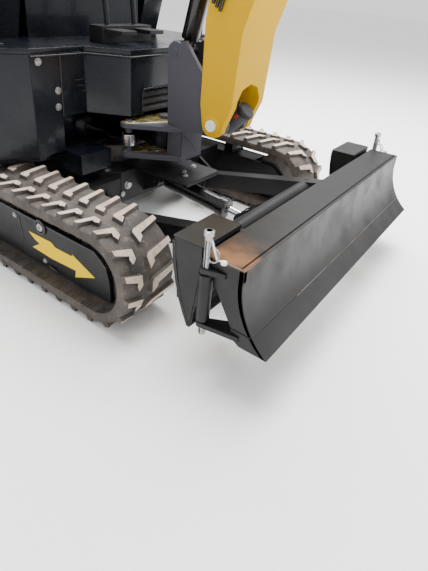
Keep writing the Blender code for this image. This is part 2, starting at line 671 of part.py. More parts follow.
# ---- house ----------------------------------------------------------------------------------
def platform(look):
    inset = SHEET + GAP
    half = [(0.130, 0), (0.130, 0.170), (CORNER_X - 0.018, CORNER_Y - 0.012),
            (SIDE_FRONT_X - 0.016, HOUSE_HALF_WIDTH - inset),
            (-0.560, HOUSE_HALF_WIDTH - inset), (-0.640, 0.380), (-0.690, 0)]
    add = [prism(mirrored(half), "z", PLATFORM_LOW, PLATFORM_HIGH)]
    for side in (1, -1):
        add.append(box((0.125, 0.215), pair(side, 0.165, 0.285),
                       (PLATFORM_LOW - 0.044, PLATFORM_HIGH - 0.001)))
    neck_low = EAR_LOW + EAR_THICKNESS + RUN_PLAY
    neck_high = EAR_HIGH - RUN_PLAY
    add.append(box((0.040, SWING_X), (-0.038, 0.038), (neck_low, neck_high)))
    add.append(box((0.040, 0.128), (-0.037, 0.037), (PLATFORM_HIGH - 0.004, neck_high - 0.002)))
    add.append(upright(SWING_X, 0, BOSS_RADIUS, (neck_low + 0.0005, neck_high - 0.0005), 24))
    add.append(upright(*SWING_CYL_BASE, CYL_PIN_RADIUS, (PLATFORM_LOW + 0.005,
                                                         SWING_CYL_Z + EYE_HALF_WIDTH + 0.006)))
    add.append(upright(*SWING_CYL_BASE, 0.022, (PLATFORM_LOW + 0.006, SWING_CYL_Z - EYE_HALF_WIDTH - GAP)))
    bore = upright(SWING_X, 0, SWING_PIN_RADIUS + PIN_PLAY, (0.2, 0.5))
    return node("platform", "house", look, add, [bore])


def towards(start, end, distance):
    """The point that far from start on the way to end."""
    return tuple(Vector(start) + (Vector(end) - Vector(start)).normalized() * distance)


def house_route(side):
    """The outside of the covers from the nose to the tail on one side, in plan."""
    return [(NOSE_X, side * NOSE_HALF_WIDTH), (CORNER_X, side * NOSE_ROOT_Y), (CORNER_X, side * CORNER_Y),
            (SIDE_FRONT_X, side * HOUSE_HALF_WIDTH), (SIDE_REAR_X, side * HOUSE_HALF_WIDTH)]


def front_cover(look):
    """The front panels round the nose, with the hose window and the notch for the swing post and its cylinder."""
    left, right = house_route(1), house_route(-1)
    route = [right[2], right[1], right[0], left[0], left[1], left[2]]
    panel = wall(route, SHEET, (COVER_LOW, COVER_HIGH), right[3], left[3])
    notch = box((0.05, 0.40), (NOTCH_RIGHT_Y, NOSE_ROOT_Y + 0.004), (0.30, NOSE_LOW))
    window = box((0.20, 0.35), WINDOW_Y, WINDOW_Z)
    return node("front_cover", "house", look, [panel], [notch, window])


def side_cover(side, look):
    corner, bend, rear = house_route(side)[2:]
    front = (CORNER_X, 0)
    route = [towards(corner, bend, GAP), bend, rear]
    if side > 0:
        panel = wall(route, SHEET, (COVER_LOW, COVER_HIGH), before=front)
    else:
        panel = wall(route[::-1], SHEET, (COVER_LOW, COVER_HIGH), after=front)
    return node("side_cover_" + NAMES[side], "house", look, [panel])


def tail_outline(front_x, shrink=0.0, steps=10):
    """The round tail's outline behind front_x, centred on the slew axis, clipped to the house's width."""
    radius = TAIL_RADIUS - shrink
    half_width = HOUSE_HALF_WIDTH - shrink
    edge = math.degrees(math.asin(half_width / radius))
    curve = arc((0, 0), radius, 180 - edge, 180 + edge, steps)
    return [(front_x, half_width)] + curve + [(front_x, -half_width)]


def counterweight(look):
    outer = prism(tail_outline(SIDE_REAR_X - GAP), "z", COVER_LOW, WEIGHT_HIGH)
    inner = prism(tail_outline(SIDE_REAR_X + 0.05, 0.110), "z", COVER_LOW - 0.05, WEIGHT_HIGH + 0.05)
    return node("counterweight", "house", look, [outer], [inner])


def engine_hood(look):
    low = WEIGHT_HIGH + GAP
    skin = prism(tail_outline(HOOD_FRONT_X, 0.012), "z", low, HOOD_HIGH)
    inside = prism(tail_outline(HOOD_FRONT_X - SHEET, 0.012 + SHEET), "z", low - 0.05, HOOD_HIGH - SHEET)
    return node("engine_hood", "hood", look, [skin], [inside])


def engine_block(look):
    body = box((-0.560, -0.260), (-0.220, 0.220), (PLATFORM_HIGH + GAP, 0.585))
    return node("engine_block", "house", look, [body])


def floor_plate(look):
    half = house_route(1)[:-1] + [(FLOOR_REAR_X, HOUSE_HALF_WIDTH)]
    outline = half + [(x, -y) for x, y in reversed(half)]
    return node("floor_plate", "house", look, [prism(outline, "z", FLOOR_LOW, FLOOR_HIGH)])


def seat(looks):
    low = FLOOR_HIGH + GAP
    base_high = 0.790
    base = box((-0.385, -0.060), (-0.240, 0.240), (low, base_high))
    inside = box((-0.385 + SHEET, -0.060 - SHEET), (-0.240 + SHEET, 0.240 - SHEET),
                 (low - 0.05, base_high - SHEET))
    node("seat_base", "house", looks["house"], [base], [inside])
    cushion_low = base_high + GAP
    cushion = [(-0.335, cushion_low), (-0.030, cushion_low), (-0.015, cushion_low + 0.030),
               (-0.030, cushion_low + 0.075),
               (-0.335, cushion_low + 0.060)]
    node("seat_cushion", "house", looks["seat"], [prism(cushion, "y", -0.215, 0.215)])
    back = [(-0.400, cushion_low), (-0.3353, cushion_low), (-0.3353, cushion_low + 0.080), (-0.385, 1.190),
            (-0.405, 1.210),
            (-0.425, 1.190)]
    node("seat_back", "house", looks["seat"], [prism(back, "y", -0.205, 0.205)])


def consoles(looks):
    low = FLOOR_HIGH + GAP
    for side in (1, -1):
        top = 0.920
        y = pair(side, 0.262, 0.362)
        profile = [(-0.330, low), (-0.080, low), (-0.010, top - 0.060), (-0.020, top), (-0.330, top)]
        node("console_" + NAMES[side], "house", looks["house"], [prism(profile, "y", *y)])
        stick_x, stick_y = -0.070, side * 0.312
        add = [rod((stick_x, stick_y, top + GAP), (stick_x, stick_y, top + 0.018), 0.026, 16)]
        add.append(rod((stick_x, stick_y, top + 0.010), (stick_x + 0.012, stick_y, top + 0.110), 0.007, 12))
        add.append(rod((stick_x + 0.010, stick_y, top + 0.090), (stick_x + 0.022, stick_y, top + 0.185),
                       0.017, 16))
        node("joystick_" + NAMES[side], "house", looks["plastic"], add)


def travel_levers(look):
    low = FLOOR_HIGH + GAP
    add = [box((0.070, 0.130), (-0.110, 0.110), (low, low + 0.050))]
    for side in (1, -1):
        y = side * 0.060
        add.append(rod((0.100, y, low + 0.040), (0.060, y, low + 0.420), 0.009, 12))
        add.append(rod((0.062, y, low + 0.400), (0.055, y, low + 0.480), 0.015, 14))
        add.append(box((0.110, 0.200), pair(side, 0.030, 0.095), (low + 0.030, low + 0.042)))
    return node("travel_levers", "house", look, add)


def canopy(looks):
    low = FLOOR_HIGH + GAP
    rail = POST / 2
    high = CANOPY_TOP
    add = []
    for side in (1, -1):
        y = side * POST_Y
        add.append(box((REAR_POST_X - rail, FRONT_POST_X + rail), (y - rail, y + rail), (high - POST, high)))
        for x in (REAR_POST_X, FRONT_POST_X):
            add.append(box((x - rail + 0.0005, x + rail - 0.0005), (y - rail + 0.0005, y + rail - 0.0005),
                           (low, high - 0.002)))
            foot = (x - rail - 0.012, x + rail + 0.012)
            add.append(box(foot, pair(side, POST_Y - rail - 0.012, POST_Y + rail + 0.008),
                           (low + 0.0002, low + 0.008)))
    for x in (REAR_POST_X, FRONT_POST_X):
        add.append(box((x - rail + 0.001, x + rail - 0.001), (-POST_Y, POST_Y),
                       (high - POST + 0.001, high - 0.001)))
    node("canopy_frame", "house", looks["frame"], add)
    front, rear, half = 0.190, -0.530, 0.490
    corner = 0.070
    outline = arc((front - corner, half - corner), corner, 0, 90,
                  4) + arc((rear + corner, half - corner), corner, 90, 180, 4)
    outline += arc((rear + corner, -half + corner), corner, 180, 270,
                   4) + arc((front - corner, -half + corner), corner, 270, 360, 4)
    roof = prism(outline, "z", high + GAP, high + 0.045)
    middle = ((front + rear) / 2, 0)
    crown = prism([(middle[0] + (x - middle[0]) * 0.86, y * 0.9) for x, y in outline], "z", high + 0.040,
                  high + 0.062)
    node("canopy_roof", "house", looks["yellow"], [roof, crown])


def hose_coils(look):
    """The stack of sleeved hoses behind the window in the nose."""
    front = NOSE_X - SHEET - GAP
    depth = 0.055
    reach = (WINDOW_Y[0] - 0.006, WINDOW_Y[1] + 0.010)
    low = NOSE_LOW - 0.004
    turns, pitch = 4, 0.024
    core_x = (front - depth + 0.008, front - 0.008)
    core_y = (reach[0] + 0.008, reach[1] - 0.008)
    add = [box(core_x, core_y, (low + 0.006, low + pitch * turns - 0.006))]
    for i in range(turns):
        middle = low + pitch * (i + 0.5)
        add.append(box((front - depth, front), reach, (middle - 0.010, middle + 0.010)))
    return node("hose_coils", "house", look, add)


# ---- swing post, boom, arm and bucket -------------------------------------------------------
def swing_bracket(look):
    pivot = (SWING_X, 0)
    neck = 0.060
    ear = hull((pivot, 0.072), (SWING_CYL_EYE, 0.027), ((0.405, neck - 0.012), 0.012),
               ((0.405, -neck + 0.012), 0.012))
    top = EAR_HIGH + EAR_THICKNESS
    add = [prism(ear, "z", EAR_LOW, EAR_LOW + EAR_THICKNESS), prism(ear, "z", EAR_HIGH, top)]
    web_rear = SWING_X + BOSS_RADIUS + RUN_PLAY
    half = BRACKET_HALF_WIDTH
    add.append(box((web_rear, 0.416), (-half + 0.001, half - 0.001), (EAR_LOW + 0.002, top - 0.002)))
    add.append(upright(*pivot, SWING_PIN_RADIUS, (EAR_LOW - 0.001, top + 0.010)))
    stub = (SWING_CYL_Z - EYE_HALF_WIDTH - SIDE_PLAY, SWING_CYL_Z + EYE_HALF_WIDTH + SIDE_PLAY)
    add.append(upright(*SWING_CYL_EYE, CYL_PIN_RADIUS, (EAR_LOW + 0.002, stub[0])))
    add.append(upright(*SWING_CYL_EYE, CYL_PIN_RADIUS, (stub[1], top + 0.008)))
    cheek = [(web_rear, EAR_HIGH + 0.003), (0.430, EAR_HIGH + 0.003)] + arc(BOOM_PIN, 0.034, 250, 420, 8)
    cheek += [(0.415, 0.655)] + arc(BOOM_CYL_BASE, 0.030, 60, 180, 5)
    for side in (1, -1):
        add.append(prism(cheek, "y", *pair(side, half - 0.015, half)))
    add.append(box((web_rear + 0.0005, web_rear + 0.013), (-half + 0.002, half - 0.002),
                   (EAR_HIGH + 0.005, 0.560)))
    reach = BOOM_HALF_WIDTH + 0.007
    add.append(cross_rod(BOOM_PIN, 0.016, (-reach, reach)))
    add.append(rod(xz(0.545, 0.422), xz(*HORN_TIP), HORN_RADIUS, 24))
    add.append(cross_rod(BOOM_CYL_BASE, CYL_PIN_RADIUS, (-half - 0.004, half + 0.004)))
    return node("swing_bracket", "swing", look, add)


def boom(look):
    """The bent box boom, forked at its foot round the swing post and at its tip round the arm."""
    half = BOOM_HALF_WIDTH
    x, z = BOOM_PIN
    tip_x, tip_z = ARM_PIN
    outline = arc(BOOM_PIN, 0.036, 180, 360, 6) + [(x + 0.062, z + 0.060), (x + 0.075, 0.700), (0.740, 1.045)]
    outline += arc(ARM_PIN, 0.046, 300, 500, 7) + [(0.640, 1.200), (0.555, 1.080), (x - 0.045, 0.720),
                                                   (x - 0.045, z + 0.055)]
    add = [prism(outline, "y", -half, half)]
    foot_slot = BRACKET_HALF_WIDTH + 0.004
    slot = [(x - 0.080, z - 0.080), (x + 0.030, z - 0.080), (x + 0.030, z + 0.160), (x - 0.010, z + 0.205),
            (x - 0.080, z + 0.205)]
    arch = [(-foot_slot, z - 0.080), (foot_slot, z - 0.080), (foot_slot, z + 0.075), (0.040, z + 0.106),
            (0.0, z + 0.119),
            (-0.040, z + 0.106), (-foot_slot, z + 0.075)]
    cut = [prism(slot, "y", -foot_slot, foot_slot), prism(arch, "x", x - 0.010, x + 0.120)]
    cut.append(cross_rod(BOOM_PIN, 0.016 + PIN_PLAY, (-half - 0.01, half + 0.01)))
    tip_slot = ARM_HALF_WIDTH + SIDE_PLAY
    notch = [(tip_x - 0.130, tip_z - 0.260), (tip_x + 0.120, tip_z - 0.080), (tip_x + 0.120, tip_z + 0.140),
             (tip_x - 0.080, tip_z + 0.060), (tip_x - 0.130, tip_z - 0.020)]
    cut.append(prism(notch, "y", -tip_slot, tip_slot))
    arm_pin = cross_rod(ARM_PIN, 0.014, (-half - 0.006, half + 0.006))
    near = EYE_HALF_WIDTH + SIDE_PLAY
    foot_lug = hull((BOOM_EYE, 0.028), ((0.580, 1.040), 0.030), ((0.610, 1.130), 0.025))
    top_lug = hull((ARM_CYL_BASE, 0.028), ((0.690, 1.220), 0.030), ((0.780, 1.280), 0.020))
    for side in (1, -1):
        add.append(prism(foot_lug, "y", *pair(side, near, near + PLATE)))
        add.append(prism(top_lug, "y", *pair(side, near, near + PLATE)))
    made = node("boom", "boom", look, add, cut)
    combine(made, arm_pin, "UNION")
    combine(made, cross_rod(ARM_CYL_BASE, CYL_PIN_RADIUS, (-near - PLATE - 0.004, near + PLATE + 0.004)),
            "UNION")
    return made


def arm(look):
    half = ARM_HALF_WIDTH
    tip = ARM_LENGTH
    back = [arm_point(-0.170, 0.010), arm_point(-0.172, 0.055), arm_point(-0.145, 0.068),
            arm_point(0.060, 0.062)]
    front = [arm_point(tip - 0.020, 0.030), arm_point(tip + 0.015, 0.026), arm_point(tip + 0.030, 0.0),
             arm_point(tip + 0.015, -0.026)]
    under = [arm_point(tip - 0.020, -0.030), arm_point(0.080, -0.058), arm_point(-0.030, -0.050)]
    add = [prism(back + front + under, "y", -half, half)]
    lug = [arm_point(0.010, 0.050), arm_point(0.048, 0.128), arm_point(0.088, 0.128), arm_point(0.100, 0.050)]
    near = EYE_HALF_WIDTH + SIDE_PLAY
    for side in (1, -1):
        add.append(prism(lug, "y", *pair(side, near, near + PLATE)))
    slot = [arm_point(-0.240, -0.040), arm_point(-0.240, 0.100), arm_point(-0.055, 0.100),
            arm_point(-0.055, -0.040)]
    cut = [prism(slot, "y", -near, near)]
    cut.append(cross_rod(ARM_PIN, 0.014 + PIN_PLAY, (-half - 0.01, half + 0.01)))
    cut.append(cross_rod(BUCKET_PIN, 0.012 + PIN_PLAY, (-half - 0.01, half + 0.01)))
    cut.append(cross_rod(ROCKER_PIN, 0.012 + PIN_PLAY, (-half - 0.01, half + 0.01)))
    made = node("arm", "arm", look, add, cut)
    combine(made, cross_rod(BUCKET_CYL_BASE, CYL_PIN_RADIUS, (-near - PLATE - 0.004, near + PLATE + 0.004)),
            "UNION")
    return made


LINK_Y = (ARM_HALF_WIDTH + SIDE_PLAY, ARM_HALF_WIDTH + SIDE_PLAY + 0.010)
ROCKER_Y = (LINK_Y[1] + SIDE_PLAY, LINK_Y[1] + SIDE_PLAY + 0.010)
EAR_Y = (ROCKER_Y[1] + SIDE_PLAY, ROCKER_Y[1] + SIDE_PLAY + PLATE)


def linkage(look):
    """The rocker on the arm and the link from its end to the bucket, which with the arm make a parallelogram."""
    add = [cross_rod(ROCKER_PIN, 0.012, (-ROCKER_Y[1], ROCKER_Y[1]))]
    for side in (1, -1):
        add.append(prism(hull((ROCKER_PIN, 0.024), (ROCKER_END, 0.022)), "y", *pair(side, *ROCKER_Y)))
        add.append(cross_rod(ROCKER_END, 0.010, pair(side, LINK_Y[0], ROCKER_Y[0] + 0.004)))
    node("bucket_rocker", "rocker", look, add)
    middle = arm_point(ARM_LENGTH - ROCKER_FROM_TIP / 2, ROCKER_LENGTH)
    add = [cross_rod(middle, 0.012, (-LINK_Y[0] - 0.004, LINK_Y[0] + 0.004))]
    cut = []
    for side in (1, -1):
        add.append(prism(hull((ROCKER_END, 0.020), (LINK_END, 0.020)), "y", *pair(side, *LINK_Y)))
    for centre in (ROCKER_END, LINK_END):
        cut.append(cross_rod(centre, 0.010 + PIN_PLAY, (-0.1, 0.1)))
    node("bucket_link", "link", look, add, cut)


def bucket_outline(grow=0.0):
    """Side view of the bucket from the upper lip round the heel to the cutting edge; grow moves it inwards."""
    along = ARM_LENGTH
    points = [(-0.055, 0.040 + grow), (0.130, 0.040 + grow)]
    heel = arc((0.110, 0.165), 0.125 - grow, -60, 60, 6)
    points += [(u, v) for u, v in heel] + [(-0.105 - grow, 0.345 - grow * 1.4)]
    return [arm_point(along + v, u) for u, v in points]


def bucket(look):
    half = BUCKET_HALF_WIDTH
    add = [prism(bucket_outline(), "y", -half, half)]
    inside = bucket_outline(BUCKET_WALL)
    mouth = [arm_point(ARM_LENGTH + 0.330, -0.200), arm_point(ARM_LENGTH + 0.047, -0.120)]
    cut = [prism(inside + mouth, "y", -half + BUCKET_WALL, half - BUCKET_WALL)]
    ear = hull((BUCKET_PIN, 0.026), (LINK_END, 0.024), (arm_point(ARM_LENGTH + 0.036, -0.030), 0.008),
               (arm_point(ARM_LENGTH + 0.036, 0.120), 0.008))
    made = node("bucket", "bucket", look, add, cut)
    for side in (1, -1):
        combine(made, prism(ear, "y", *pair(side, *EAR_Y)), "UNION")
        combine(made, cross_rod(LINK_END, 0.010, pair(side, LINK_Y[0], EAR_Y[0] + 0.004)), "UNION")
    combine(made, cross_rod(BUCKET_PIN, 0.012, (-EAR_Y[1] + 0.002, EAR_Y[1] - 0.002)), "UNION")
    teeth = 4
    tooth = [arm_point(ARM_LENGTH + v, u) for u, v in ((-0.090, 0.328), (-0.090, 0.352), (-0.150, 0.352))]
    for i in range(teeth):
        y = (-0.5 + (i + 0.5) / teeth) * 2 * (half - 0.010)
        combine(made, prism(tooth, "y", y - 0.018, y + 0.018), "UNION")
    return made


NAMES = {1: "left", -1: "right"}


def make_looks():
    return {
        "rubber": material("track_rubber", (0.060, 0.052, 0.046), 0.85),
        "frame": material("satin_black_steel", (0.018, 0.018, 0.020), 0.45, 0.2),
        "wheel": material("wheel_steel", (0.060, 0.058, 0.055), 0.55, 0.6),
        "black": material("blade_black", (0.010, 0.010, 0.011), 0.35, 0.2),
        "edge": material("edge_steel", (0.030, 0.028, 0.026), 0.40, 0.5),
        "house": material("house_blue_black", (0.016, 0.018, 0.024), 0.30),
        "grey": material("post_grey", (0.110, 0.110, 0.125), 0.40),
        "yellow": material("boom_yellow", (0.900, 0.520, 0.010), 0.35),
        "steel": material("cylinder_black", (0.015, 0.015, 0.016), 0.35, 0.3),
        "chrome": material("rod_chrome", (0.750, 0.750, 0.760), 0.12, 1.0),
        "zinc": material("pin_zinc", (0.560, 0.550, 0.500), 0.35, 0.9),
        "seat": material("seat_vinyl", (0.020, 0.020, 0.022), 0.60),
        "plastic": material("grip_plastic", (0.015, 0.015, 0.015), 0.50),
        "hose": material("hose_sleeve", (0.120, 0.110, 0.100), 0.90),
    }


def make_undercarriage(looks):
    for side in (1, -1):
        rubber_track(side, looks["rubber"])
        track_frame(side, looks["frame"])
        idler(side, looks["wheel"])
        sprocket(side, looks["wheel"])
    chassis(looks["frame"])
    slew_ring(looks["wheel"])
    cylinder_guard(looks["frame"])


def make_blade(looks):
    dozer_blade(looks["black"])
    cutting_edge(looks["edge"])
    lift_frame(looks["black"])
    for side in (1, -1):
        wing(side, looks["black"])
        wing_pin(side, looks["zinc"])
    cylinder("blade", xz(*BLADE_CYL_BASE), xz(*BLADE_CYL_EYE), 0.030, 0.80, BLADE_STROKE, looks)


def make_house(looks):
    platform(looks["frame"])
    front_cover(looks["house"])
    for side in (1, -1):
        side_cover(side, looks["house"])
    counterweight(looks["house"])
    engine_hood(looks["house"])
    engine_block(looks["wheel"])
    floor_plate(looks["frame"])
    seat(looks)
    consoles(looks)
    travel_levers(looks["plastic"])
    canopy(looks)
    hose_coils(looks["hose"])


def make_front(looks):
    swing_bracket(looks["grey"])
    cylinder("swing", (*SWING_CYL_BASE, SWING_CYL_Z), (*SWING_CYL_EYE, SWING_CYL_Z), 0.026, 0.50,
             SWING_STROKE, looks, upright_pins=True)
    boom(looks["yellow"])
    cylinder("boom", xz(*BOOM_CYL_BASE), xz(*BOOM_EYE), 0.027, 0.74, BOOM_STROKE, looks)
    arm(looks["yellow"])
    cylinder("arm", xz(*ARM_CYL_BASE), xz(*ARM_CYL_EYE), 0.026, 0.62, ARM_STROKE, looks)
    bucket(looks["black"])
    linkage(looks["black"])
    cylinder("bucket", xz(*BUCKET_CYL_BASE), xz(*ROCKER_END), 0.024, 0.64, BUCKET_STROKE, looks)


def centre_on_ground():
    """Moves the machine along X so that its box is centred on the origin."""
    bpy.context.view_layer.update()
    graph = bpy.context.evaluated_depsgraph_get()
    reach = []
    for obj in bpy.context.scene.objects:
        if obj.type == "MESH" and not obj.hide_render:
            evaluated = obj.evaluated_get(graph)
            reach += [(evaluated.matrix_world @ vertex.co).x for vertex in evaluated.data.vertices]
    bpy.data.objects["machine"].location.x = -(min(reach) + max(reach)) / 2


def main():
    for obj in list(bpy.data.objects):
        bpy.data.objects.remove(obj)
    make_axes()
    looks = make_looks()
    make_undercarriage(looks)
    make_blade(looks)
    make_house(looks)
    make_front(looks)
    centre_on_ground()


main()
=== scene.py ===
"""Looks of a mini excavator on rubber tracks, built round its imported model.

Metres, +X forward, +Y left, +Z up.
"""

import json
import math

import bmesh
import bpy
from mathutils import Matrix, Vector, noise

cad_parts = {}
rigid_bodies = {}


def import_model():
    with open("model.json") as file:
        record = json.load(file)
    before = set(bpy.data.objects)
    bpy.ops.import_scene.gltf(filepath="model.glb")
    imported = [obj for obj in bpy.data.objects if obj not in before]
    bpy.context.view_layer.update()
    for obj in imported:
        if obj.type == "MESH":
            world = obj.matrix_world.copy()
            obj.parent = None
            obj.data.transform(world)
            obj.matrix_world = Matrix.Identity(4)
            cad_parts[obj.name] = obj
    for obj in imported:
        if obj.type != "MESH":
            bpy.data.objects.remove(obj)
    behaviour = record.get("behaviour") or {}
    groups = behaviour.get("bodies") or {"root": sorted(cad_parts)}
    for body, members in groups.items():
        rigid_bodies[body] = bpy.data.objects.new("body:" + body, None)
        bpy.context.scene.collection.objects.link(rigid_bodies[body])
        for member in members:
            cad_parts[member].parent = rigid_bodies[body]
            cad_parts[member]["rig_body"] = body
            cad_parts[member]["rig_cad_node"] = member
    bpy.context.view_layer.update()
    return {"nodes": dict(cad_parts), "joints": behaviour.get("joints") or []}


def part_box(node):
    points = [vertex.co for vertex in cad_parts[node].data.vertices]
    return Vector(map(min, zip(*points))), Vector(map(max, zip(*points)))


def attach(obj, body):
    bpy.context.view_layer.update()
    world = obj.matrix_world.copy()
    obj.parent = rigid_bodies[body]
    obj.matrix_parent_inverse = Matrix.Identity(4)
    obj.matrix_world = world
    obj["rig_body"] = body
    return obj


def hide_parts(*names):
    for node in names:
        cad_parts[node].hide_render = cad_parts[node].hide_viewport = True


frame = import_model()
JOINTS = {joint["name"]: joint for joint in frame["joints"]}


def pin(joint):
    return Vector(JOINTS[joint]["pos_m"])


def low(node):
    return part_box(node)[0]


def high(node):
    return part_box(node)[1]


def middle(node):
    return (low(node) + high(node)) / 2


SLEW_X = pin("slew").x
BLADE_TIP = high("cutting_edge").x
SIDE_NAMES = {1: "left", -1: "right"}
FORWARD = Vector((1, 0, 0))
SIDEWAYS = Vector((0, 1, 0))
UP = Vector((0, 0, 1))


def at(x, y, z):
    """A point given in the frame whose X starts at the slew axis."""
    return Vector((SLEW_X + x, y, z))


def arc(centre, radius, start, end, steps, first=FORWARD, second=SIDEWAYS):
    """Points on an arc from one angle in degrees to another, where first is at 0 and second at 90 degrees."""
    points = []
    for k in range(steps + 1):
        turn = math.radians(start + (end - start) * k / steps)
        points.append(centre + radius * (math.cos(turn) * first + math.sin(turn) * second))
    return points


def circle(centre, radius, sides, first=FORWARD, second=SIDEWAYS):
    return arc(centre, radius, 0, 360, sides, first, second)[:-1]


# ---- shapes ----------------------------------------------
LEAST_RADIUS = 0.0002                   # what a turned profile has where it comes to a point
COINCIDENT = 2e-5                       # points nearer than this are one
COPLANAR = 0.6                          # triangles that meet at less than this many degrees are one face


class Shape:
    """Points and faces of one piece, gathered from simple solids."""

    def __init__(self):
        self.points = []
        self.faces = []

    def add(self, points, faces):
        first = len(self.points)
        self.points += [Vector(p) for p in points]
        self.faces += [[first + i for i in face] for face in faces]
        return self

    def loft(self, rings, closed=False):
        """Joins rings of equally many points, capped at both ends unless closed."""
        count = len(rings[0])
        points = [p for ring in rings for p in ring]
        faces = []
        for k in range(len(rings) if closed else len(rings) - 1):
            a, b = k * count, (k + 1) % len(rings) * count
            for i in range(count):
                j = (i + 1) % count
                faces.append([a + i, a + j, b + j, b + i])
        if not closed:
            faces.append(list(range(count))[::-1])
            faces.append([(len(rings) - 1) * count + i for i in range(count)])
        return self.add(points, faces)

    def box(self, centre, size, along=FORWARD):
        """A block of that size, its X turned to along and its Z as near upright as that allows."""
        x = Vector(along).normalized()
        z = (UP - UP.dot(x) * x).normalized()
        y = z.cross(x)
        half = Vector(size) / 2
        rings = []
        for k in (-1, 1):
            ring = []
            for i, j in ((-1, -1), (1, -1), (1, 1), (-1, 1)):
                ring.append(Vector(centre) + i * half.x * x + j * half.y * y + k * half.z * z)
            rings.append(ring)
        return self.loft(rings)

    def prism(self, outline, offset):
        """A flat outline of 3-D points drawn out by offset."""
        offset = Vector(offset)
        return self.loft([outline, [p + offset for p in outline]])

    def tube(self, route, radius, sides=12, closed=False):
        """A round tube along a route, with radius a number or one number for each point."""
        route = [Vector(p) for p in route]
        count = len(route)
        radii = radius if isinstance(radius, list) else [radius] * count
        rings = []
        across = None
        for i, here in enumerate(route):
            after = route[(i + 1) % count] if closed or i < count - 1 else here
            before = route[i - 1] if closed or i else here
            along = (after - before).normalized()
            if across is None:
                across = along.orthogonal()
            across = (across - across.dot(along) * along).normalized()
            rings.append(circle(here, radii[i], sides, across, along.cross(across)))
        return self.loft(rings, closed)

    def turned(self, centre, axis, profile, sides=24):
        """A solid of revolution: profile gives (distance along axis, radius) from one end to the other."""
        axis = Vector(axis).normalized()
        across = axis.orthogonal().normalized()
        over = axis.cross(across)
        rings = []
        for along, radius in profile:
            rings.append(circle(centre + axis * along, max(radius, LEAST_RADIUS), sides, across, over))
        return self.loft(rings)

    def bolt(self, seat, axis, size):
        """A washer and a hexagon head of that width across corners on a seat."""
        half = size / 2
        washer = half * 1.35
        self.turned(seat, axis, [(-0.001, washer), (0.0012, washer), (0.0016, half * 1.3)], 20)
        head = [(0.0014, half), (half * 0.55, half), (half * 0.68, half * 0.86)]
        return self.turned(seat, axis, head, 6)

    def weld(self, start, end, radius):
        """A rippled bead between two points."""
        start, end = Vector(start), Vector(end)
        count = max(4, int((end - start).length / (radius * 0.9)))
        route = [start.lerp(end, i / count) for i in range(count + 1)]
        radii = [radius * (1.0 if i % 2 else 0.82) for i in range(count + 1)]
        return self.tube(route, radii, 8)

    def mesh(self, name):
        mesh = bpy.data.meshes.new(name)
        mesh.from_pydata([tuple(p) for p in self.points], [], self.faces)
        return mesh

    def make(self, name, body, look, bevel=0.0, angle=35):
        mesh = self.mesh(name)
        shape = bmesh.new()
        shape.from_mesh(mesh)
        bmesh.ops.recalc_face_normals(shape, faces=shape.faces[:])
        shape.to_mesh(mesh)
        shape.free()
        piece = bpy.data.objects.new(name, mesh)
        bpy.context.scene.collection.objects.link(piece)
        piece.data.materials.append(look)
        soften(piece, bevel, angle, True)
        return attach(piece, body)


def soften(piece, bevel, angle, clamped):
    """Smooth shading where faces meet at less than that angle, and rounded edges where bevel is given."""
    if bevel:
        rounding = piece.modifiers.new("rounding", "BEVEL")
        rounding.width = bevel
        rounding.segments = 2
        rounding.limit_method = "ANGLE"
        rounding.angle_limit = math.radians(angle)
        rounding.use_clamp_overlap = clamped
        rounding.harden_normals = True
    piece.data.shade_smooth()
    piece.data.set_sharp_from_angle(angle=math.radians(angle))


def copy_of(node, name):
    """The CAD node's own shape as a new piece that rides on nothing yet."""
    source = frame["nodes"][node]
    piece = source.copy()
    piece.data = source.data.copy()
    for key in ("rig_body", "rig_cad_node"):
        if key in piece:
            del piece[key]
    piece.parent = None
    piece.name = name
    piece.data.name = name
    bpy.context.scene.collection.objects.link(piece)
    return piece


def dress(piece, look):
    """Gives the whole piece one material."""
    piece.data.materials.clear()
    piece.data.materials.append(look)
    for polygon in piece.data.polygons:
        polygon.material_index = 0


def refined(node, look, bevel):
    """The CAD node with flat faces in place of triangles and rounded edges, or as it is where bevel is 0."""
    piece = copy_of(node, node + "_surface")
    shape = bmesh.new()
    shape.from_mesh(piece.data)
    bmesh.ops.remove_doubles(shape, verts=shape.verts[:], dist=COINCIDENT)
    if bevel:
        flat = math.radians(COPLANAR)
        bmesh.ops.dissolve_limit(shape, angle_limit=flat, verts=shape.verts[:], edges=shape.edges[:])
    shape.to_mesh(piece.data)
    shape.free()
    dress(piece, look)
    soften(piece, bevel, 28, False)
    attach(piece, frame["nodes"][node]["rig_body"])
    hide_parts(node)


